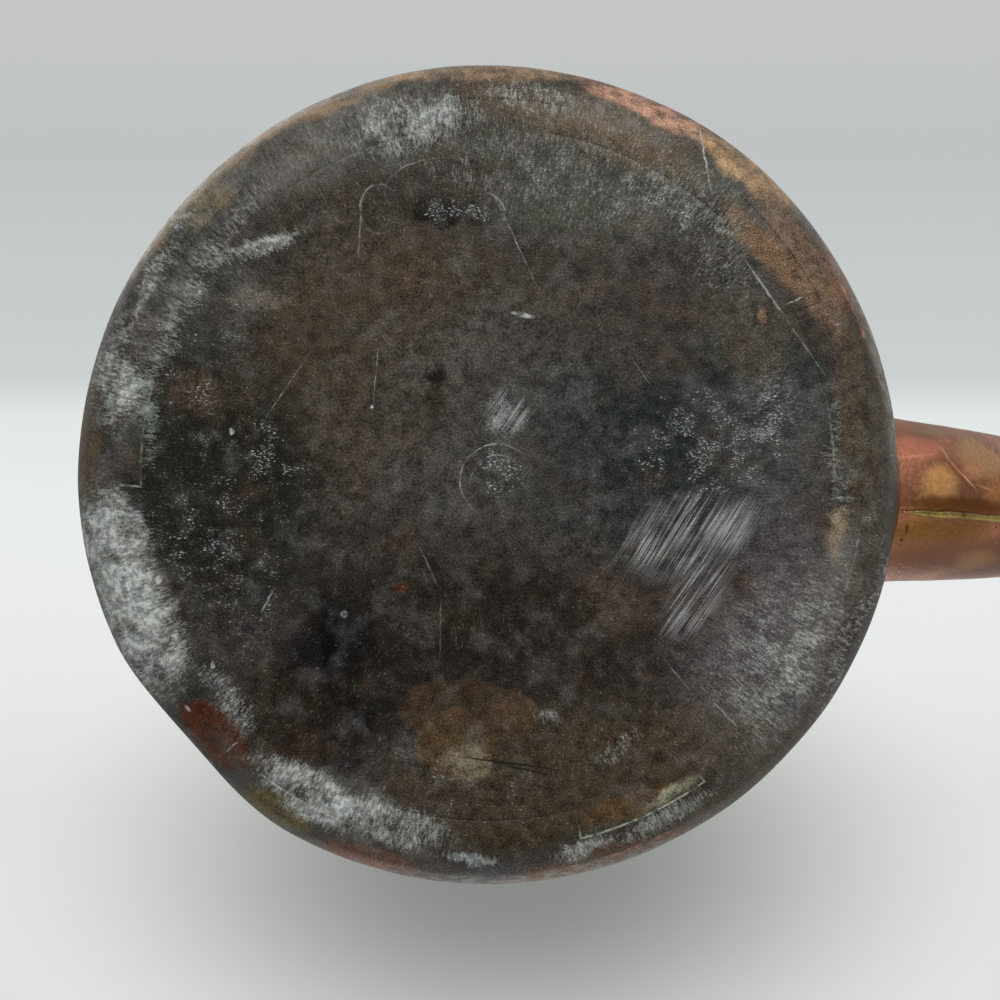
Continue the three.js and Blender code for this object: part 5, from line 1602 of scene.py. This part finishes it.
def strap_ring(centre, outward):
    """The strap's section: across the top from edge to edge, round, and back underneath."""
    height = centre.z - PIVOT_HEIGHT
    grip = smoothstep(height, EYE_RADIUS, HANDLE_LEG + ARCH_RISE * 0.8)
    width = STRAP_END[0] + (STRAP_GRIP[0] - STRAP_END[0]) * grip
    width += 1.6 * (1 - smoothstep(height, STRAP_START, 14))
    thickness = STRAP_END[1] + (STRAP_GRIP[1] - STRAP_END[1]) * grip
    ring = []
    for face in (1, -1):
        for step in range(STRAP_STEPS + 1):
            across = face * (2 * step / STRAP_STEPS - 1)
            bow = GRIP_CROWN * grip * (1 - across ** 2)
            thin = thickness * (1 - EDGE_THINNING * abs(across) ** 6)
            point = centre + Vector((0, across * width / 2, 0))
            ring.append(point + outward * (bow + face * thin / 2))
    return ring


legs = []
for side in (-1, 1):
    legs.append([])
    for step in range(LEG_STEPS):
        height = PIVOT_HEIGHT + STRAP_START + (HANDLE_LEG - STRAP_START) * step / LEG_STEPS
        legs[-1].append((Vector((side * ARCH_HALF_WIDTH, 0, height)), Vector((side, 0, 0))))
arch = []
for step in range(ARCH_STEPS + 1):
    turn = math.pi * (step / ARCH_STEPS - 0.5)
    height = PIVOT_HEIGHT + HANDLE_LEG + ARCH_RISE * math.cos(turn)
    centre = Vector((ARCH_HALF_WIDTH * math.sin(turn), 0, height))
    outward = Vector((ARCH_RISE * math.sin(turn), 0, ARCH_HALF_WIDTH * math.cos(turn)))
    arch.append((centre, outward.normalized()))
line = legs[0] + arch + legs[1][::-1]
bm = bmesh.new()
lofted(bm, [strap_ring(centre, outward) for centre, outward in line])
close_ends(bm)
hammered(bm, *STRAP_HAMMER, lambda p: smoothstep(p.z, PIVOT_HEIGHT + 12, PIVOT_HEIGHT + 30))
strap = make_piece("handle_strap", bm, aged)
round_edges(strap, 0.5)
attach(strap, "handle")
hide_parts("handle_bail")
for side, end in ((-1, "rear"), (1, "front")):
    half = EYE_THICKNESS / 2
    profile = [(PIN_RADIUS + 0.3, -half), (EYE_RADIUS - 0.6, -half), (EYE_RADIUS, -half + 0.6),
               (EYE_RADIUS, half - 0.6), (EYE_RADIUS - 0.6, half), (PIN_RADIUS + 0.3, half)]
    bm = bmesh.new()
    turned(bm, profile, 72, closed=True)
    stand(bm, Vector((side, 0, 0)), Vector((side * ARCH_HALF_WIDTH, 0, PIVOT_HEIGHT)))
    eye = make_piece(end + "_handle_eye", bm, aged)
    round_edges(eye, 0.3)
    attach(eye, "handle")


# Lid. A domed sheet with a flat brim, its edge turned down, and a small hole for the steam. A ring
# brazed under it keeps it in the mouth.

LID_RISE = 20
LID_SHEET = 1.2
LID_OVERHANG = 3
SKIRT_GAP = 0.6
SKIRT_WALL = 1.2
SKIRT_DEPTH = 12
STEAM_HOLE = 1.8
STEAM_OFFSET = 29
LID_COLUMNS = 216
LID_HAMMER = (0.12, 9)
LID_FILLET = 2.2
LID_FILLET_MIDDLE = 49.6
LID_EDGE = 1.0  # radius of the brim's turned edge
BRIM = LIP_TOP + SEAT_GAP
SKIRT_OUTER = MOUTH_RADIUS - SKIRT_GAP
LID_RADIUS = COLLAR_OUTER + LIP_RADIUS + LID_OVERHANG

lid_profile = []
for step in range(57):
    turn = math.radians(1.5 * step)
    radius = (SKIRT_OUTER + LID_SHEET) * math.sin(turn)
    lid_profile.append((radius, BRIM + (LID_RISE + LID_SHEET) * math.cos(turn)))
brim_top = BRIM + LID_SHEET
lid_profile += arc((LID_FILLET_MIDDLE, brim_top + LID_FILLET), LID_FILLET, -160, -90, 5)
lid_profile += [(50.4, brim_top), (51.4, brim_top)]
lid_profile += arc((LID_RADIUS - LID_EDGE, brim_top - LID_EDGE), LID_EDGE, 90, -10, 6)
bm = bmesh.new()
turned(bm, lid_profile, LID_COLUMNS)
face_away(bm, Vector((0, 0, BRIM - 20)) * MM)
steam = Vector((-STEAM_OFFSET, 0)) * MM
spare = [face for face in bm.faces
         if (face.calc_center_median().xy - steam).length < STEAM_HOLE * MM]
bmesh.ops.delete(bm, geom=spare, context="FACES")
for vert in bm.verts:
    away = vert.co.xy - steam
    if vert.is_boundary and away.length < 2 * STEAM_HOLE * MM:
        away = away.normalized() * STEAM_HOLE * MM
        vert.co.xy = steam + away
hammered(bm, *LID_HAMMER, lambda p: smoothstep(p.z, BRIM + 4, BRIM + 8))
lid = make_piece("lid_sheet", bm, aged, tinned)
give_thickness(lid, LID_SHEET - 0.1, 0.2)
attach(lid, "lid")
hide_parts("lid_dome")

skirt_bottom = BRIM - SEAT_GAP - SKIRT_DEPTH
skirt_top = BRIM + 0.5
skirt_profile = [(SKIRT_OUTER - SKIRT_WALL, skirt_bottom), (SKIRT_OUTER, skirt_bottom),
                 (SKIRT_OUTER, skirt_top), (SKIRT_OUTER - SKIRT_WALL, skirt_top)]
bm = bmesh.new()
turned(bm, skirt_profile, LID_COLUMNS, closed=True)
skirt = make_piece("lid_ring", bm, aged)
round_edges(skirt, 0.3)
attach(skirt, "lid")
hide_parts("lid_skirt")


# Knob. Turned from brass: a stepped seat, a waisted neck with a bead, a ball and a small finial,
# held by a stud that is headed over a burr under the lid.

ROSETTE_RADIUS = 13
ROSETTE_HEIGHT = 3
KNOB_RADIUS = 13
KNOB_FOOT = 6.5
KNOB_NECK = 4.5
KNOB_HEIGHT = 34
FINIAL = 5
STUD_RADIUS = 2.5
STUD_DEPTH = 14
BURR_RADIUS = 7
BURR_THICKNESS = 1.2
KNOB_SEAT = BRIM + LID_RISE + LID_SHEET + 2 * SEAT_GAP + ROSETTE_HEIGHT


def lid_top(radius):
    return BRIM + LID_SHEET + LID_RISE * math.sqrt(1 - (radius / SKIRT_OUTER) ** 2)


def fitting(name, node, profile, steps, width, closed=False):
    bm = bmesh.new()
    turned(bm, profile, steps, closed)
    piece = make_piece(name, bm, brass)
    round_edges(piece, width)
    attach(piece, "lid")
    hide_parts(node)


rosette_top = KNOB_SEAT - SEAT_GAP
rosette = [(STUD_RADIUS + 0.3, lid_top(STUD_RADIUS) + SEAT_GAP)]
rosette += [(radius, lid_top(radius) + 0.1) for radius in (5, 8, 11, ROSETTE_RADIUS - 0.6)]
rosette += arc((ROSETTE_RADIUS - 0.6, lid_top(ROSETTE_RADIUS) + 0.7), 0.6, -90, 90, 6)
rosette += [(11.6, lid_top(ROSETTE_RADIUS) + 1.3), (11.0, lid_top(ROSETTE_RADIUS) + 1.6)]
rosette += arc((8.8, rosette_top - 0.9), 0.9, 10, 120, 5)
rosette += [(7.6, rosette_top - 0.5), (KNOB_FOOT + 0.4, rosette_top),
            (STUD_RADIUS + 0.3, rosette_top)]
fitting("knob_seat", "knob_rosette", rosette, 96, 0.15, closed=True)

ball_middle = KNOB_SEAT + KNOB_HEIGHT - FINIAL - KNOB_RADIUS
knob = [(0, KNOB_SEAT + STUD_DEPTH + 0.3), (STUD_RADIUS + 0.3, KNOB_SEAT + STUD_DEPTH + 0.3),
        (STUD_RADIUS + 0.3, KNOB_SEAT), (KNOB_FOOT - 0.3, KNOB_SEAT)]
knob += arc((KNOB_FOOT - 0.6, KNOB_SEAT + 0.6), 0.6, -60, 90, 5)
knob += [(KNOB_NECK + 0.3, KNOB_SEAT + 1.5), (KNOB_NECK, KNOB_SEAT + 2.2)]
knob += arc((KNOB_NECK + 0.2, KNOB_SEAT + 3.0), 0.6, -70, 70, 5)
knob += [(KNOB_NECK, KNOB_SEAT + 3.8), (KNOB_NECK + 0.4, KNOB_SEAT + 4.2)]
knob += arc((0, ball_middle), KNOB_RADIUS, -62, 70, 40)
finial_middle = KNOB_SEAT + KNOB_HEIGHT - FINIAL / 2
knob += arc((0, finial_middle), FINIAL / 2, -45, 89, 12)
knob += [(0, KNOB_SEAT + KNOB_HEIGHT)]
fitting("ball_knob", "lid_knob", knob, 96, 0.12)

burr_top = lid_top(BURR_RADIUS) - LID_SHEET - SEAT_GAP
burr_foot = burr_top - BURR_THICKNESS
burr = [(STUD_RADIUS + 0.2, burr_foot), (BURR_RADIUS, burr_foot), (BURR_RADIUS, burr_top),
        (STUD_RADIUS + 0.2, burr_top)]
fitting("stud_burr", "knob_washer", burr, 48, 0.25, closed=True)
stud_seat = burr_foot - SEAT_GAP
stud = [(STUD_RADIUS * 1.7 * math.sin(turn), stud_seat - STUD_RADIUS * 0.8 * math.cos(turn))
        for turn in (math.radians(9 * step) for step in range(11))]
stud += [(STUD_RADIUS, stud_seat), (STUD_RADIUS, KNOB_SEAT + STUD_DEPTH),
         (0, KNOB_SEAT + STUD_DEPTH)]
fitting("headed_stud", "knob_stud", stud, 48, 0.2)
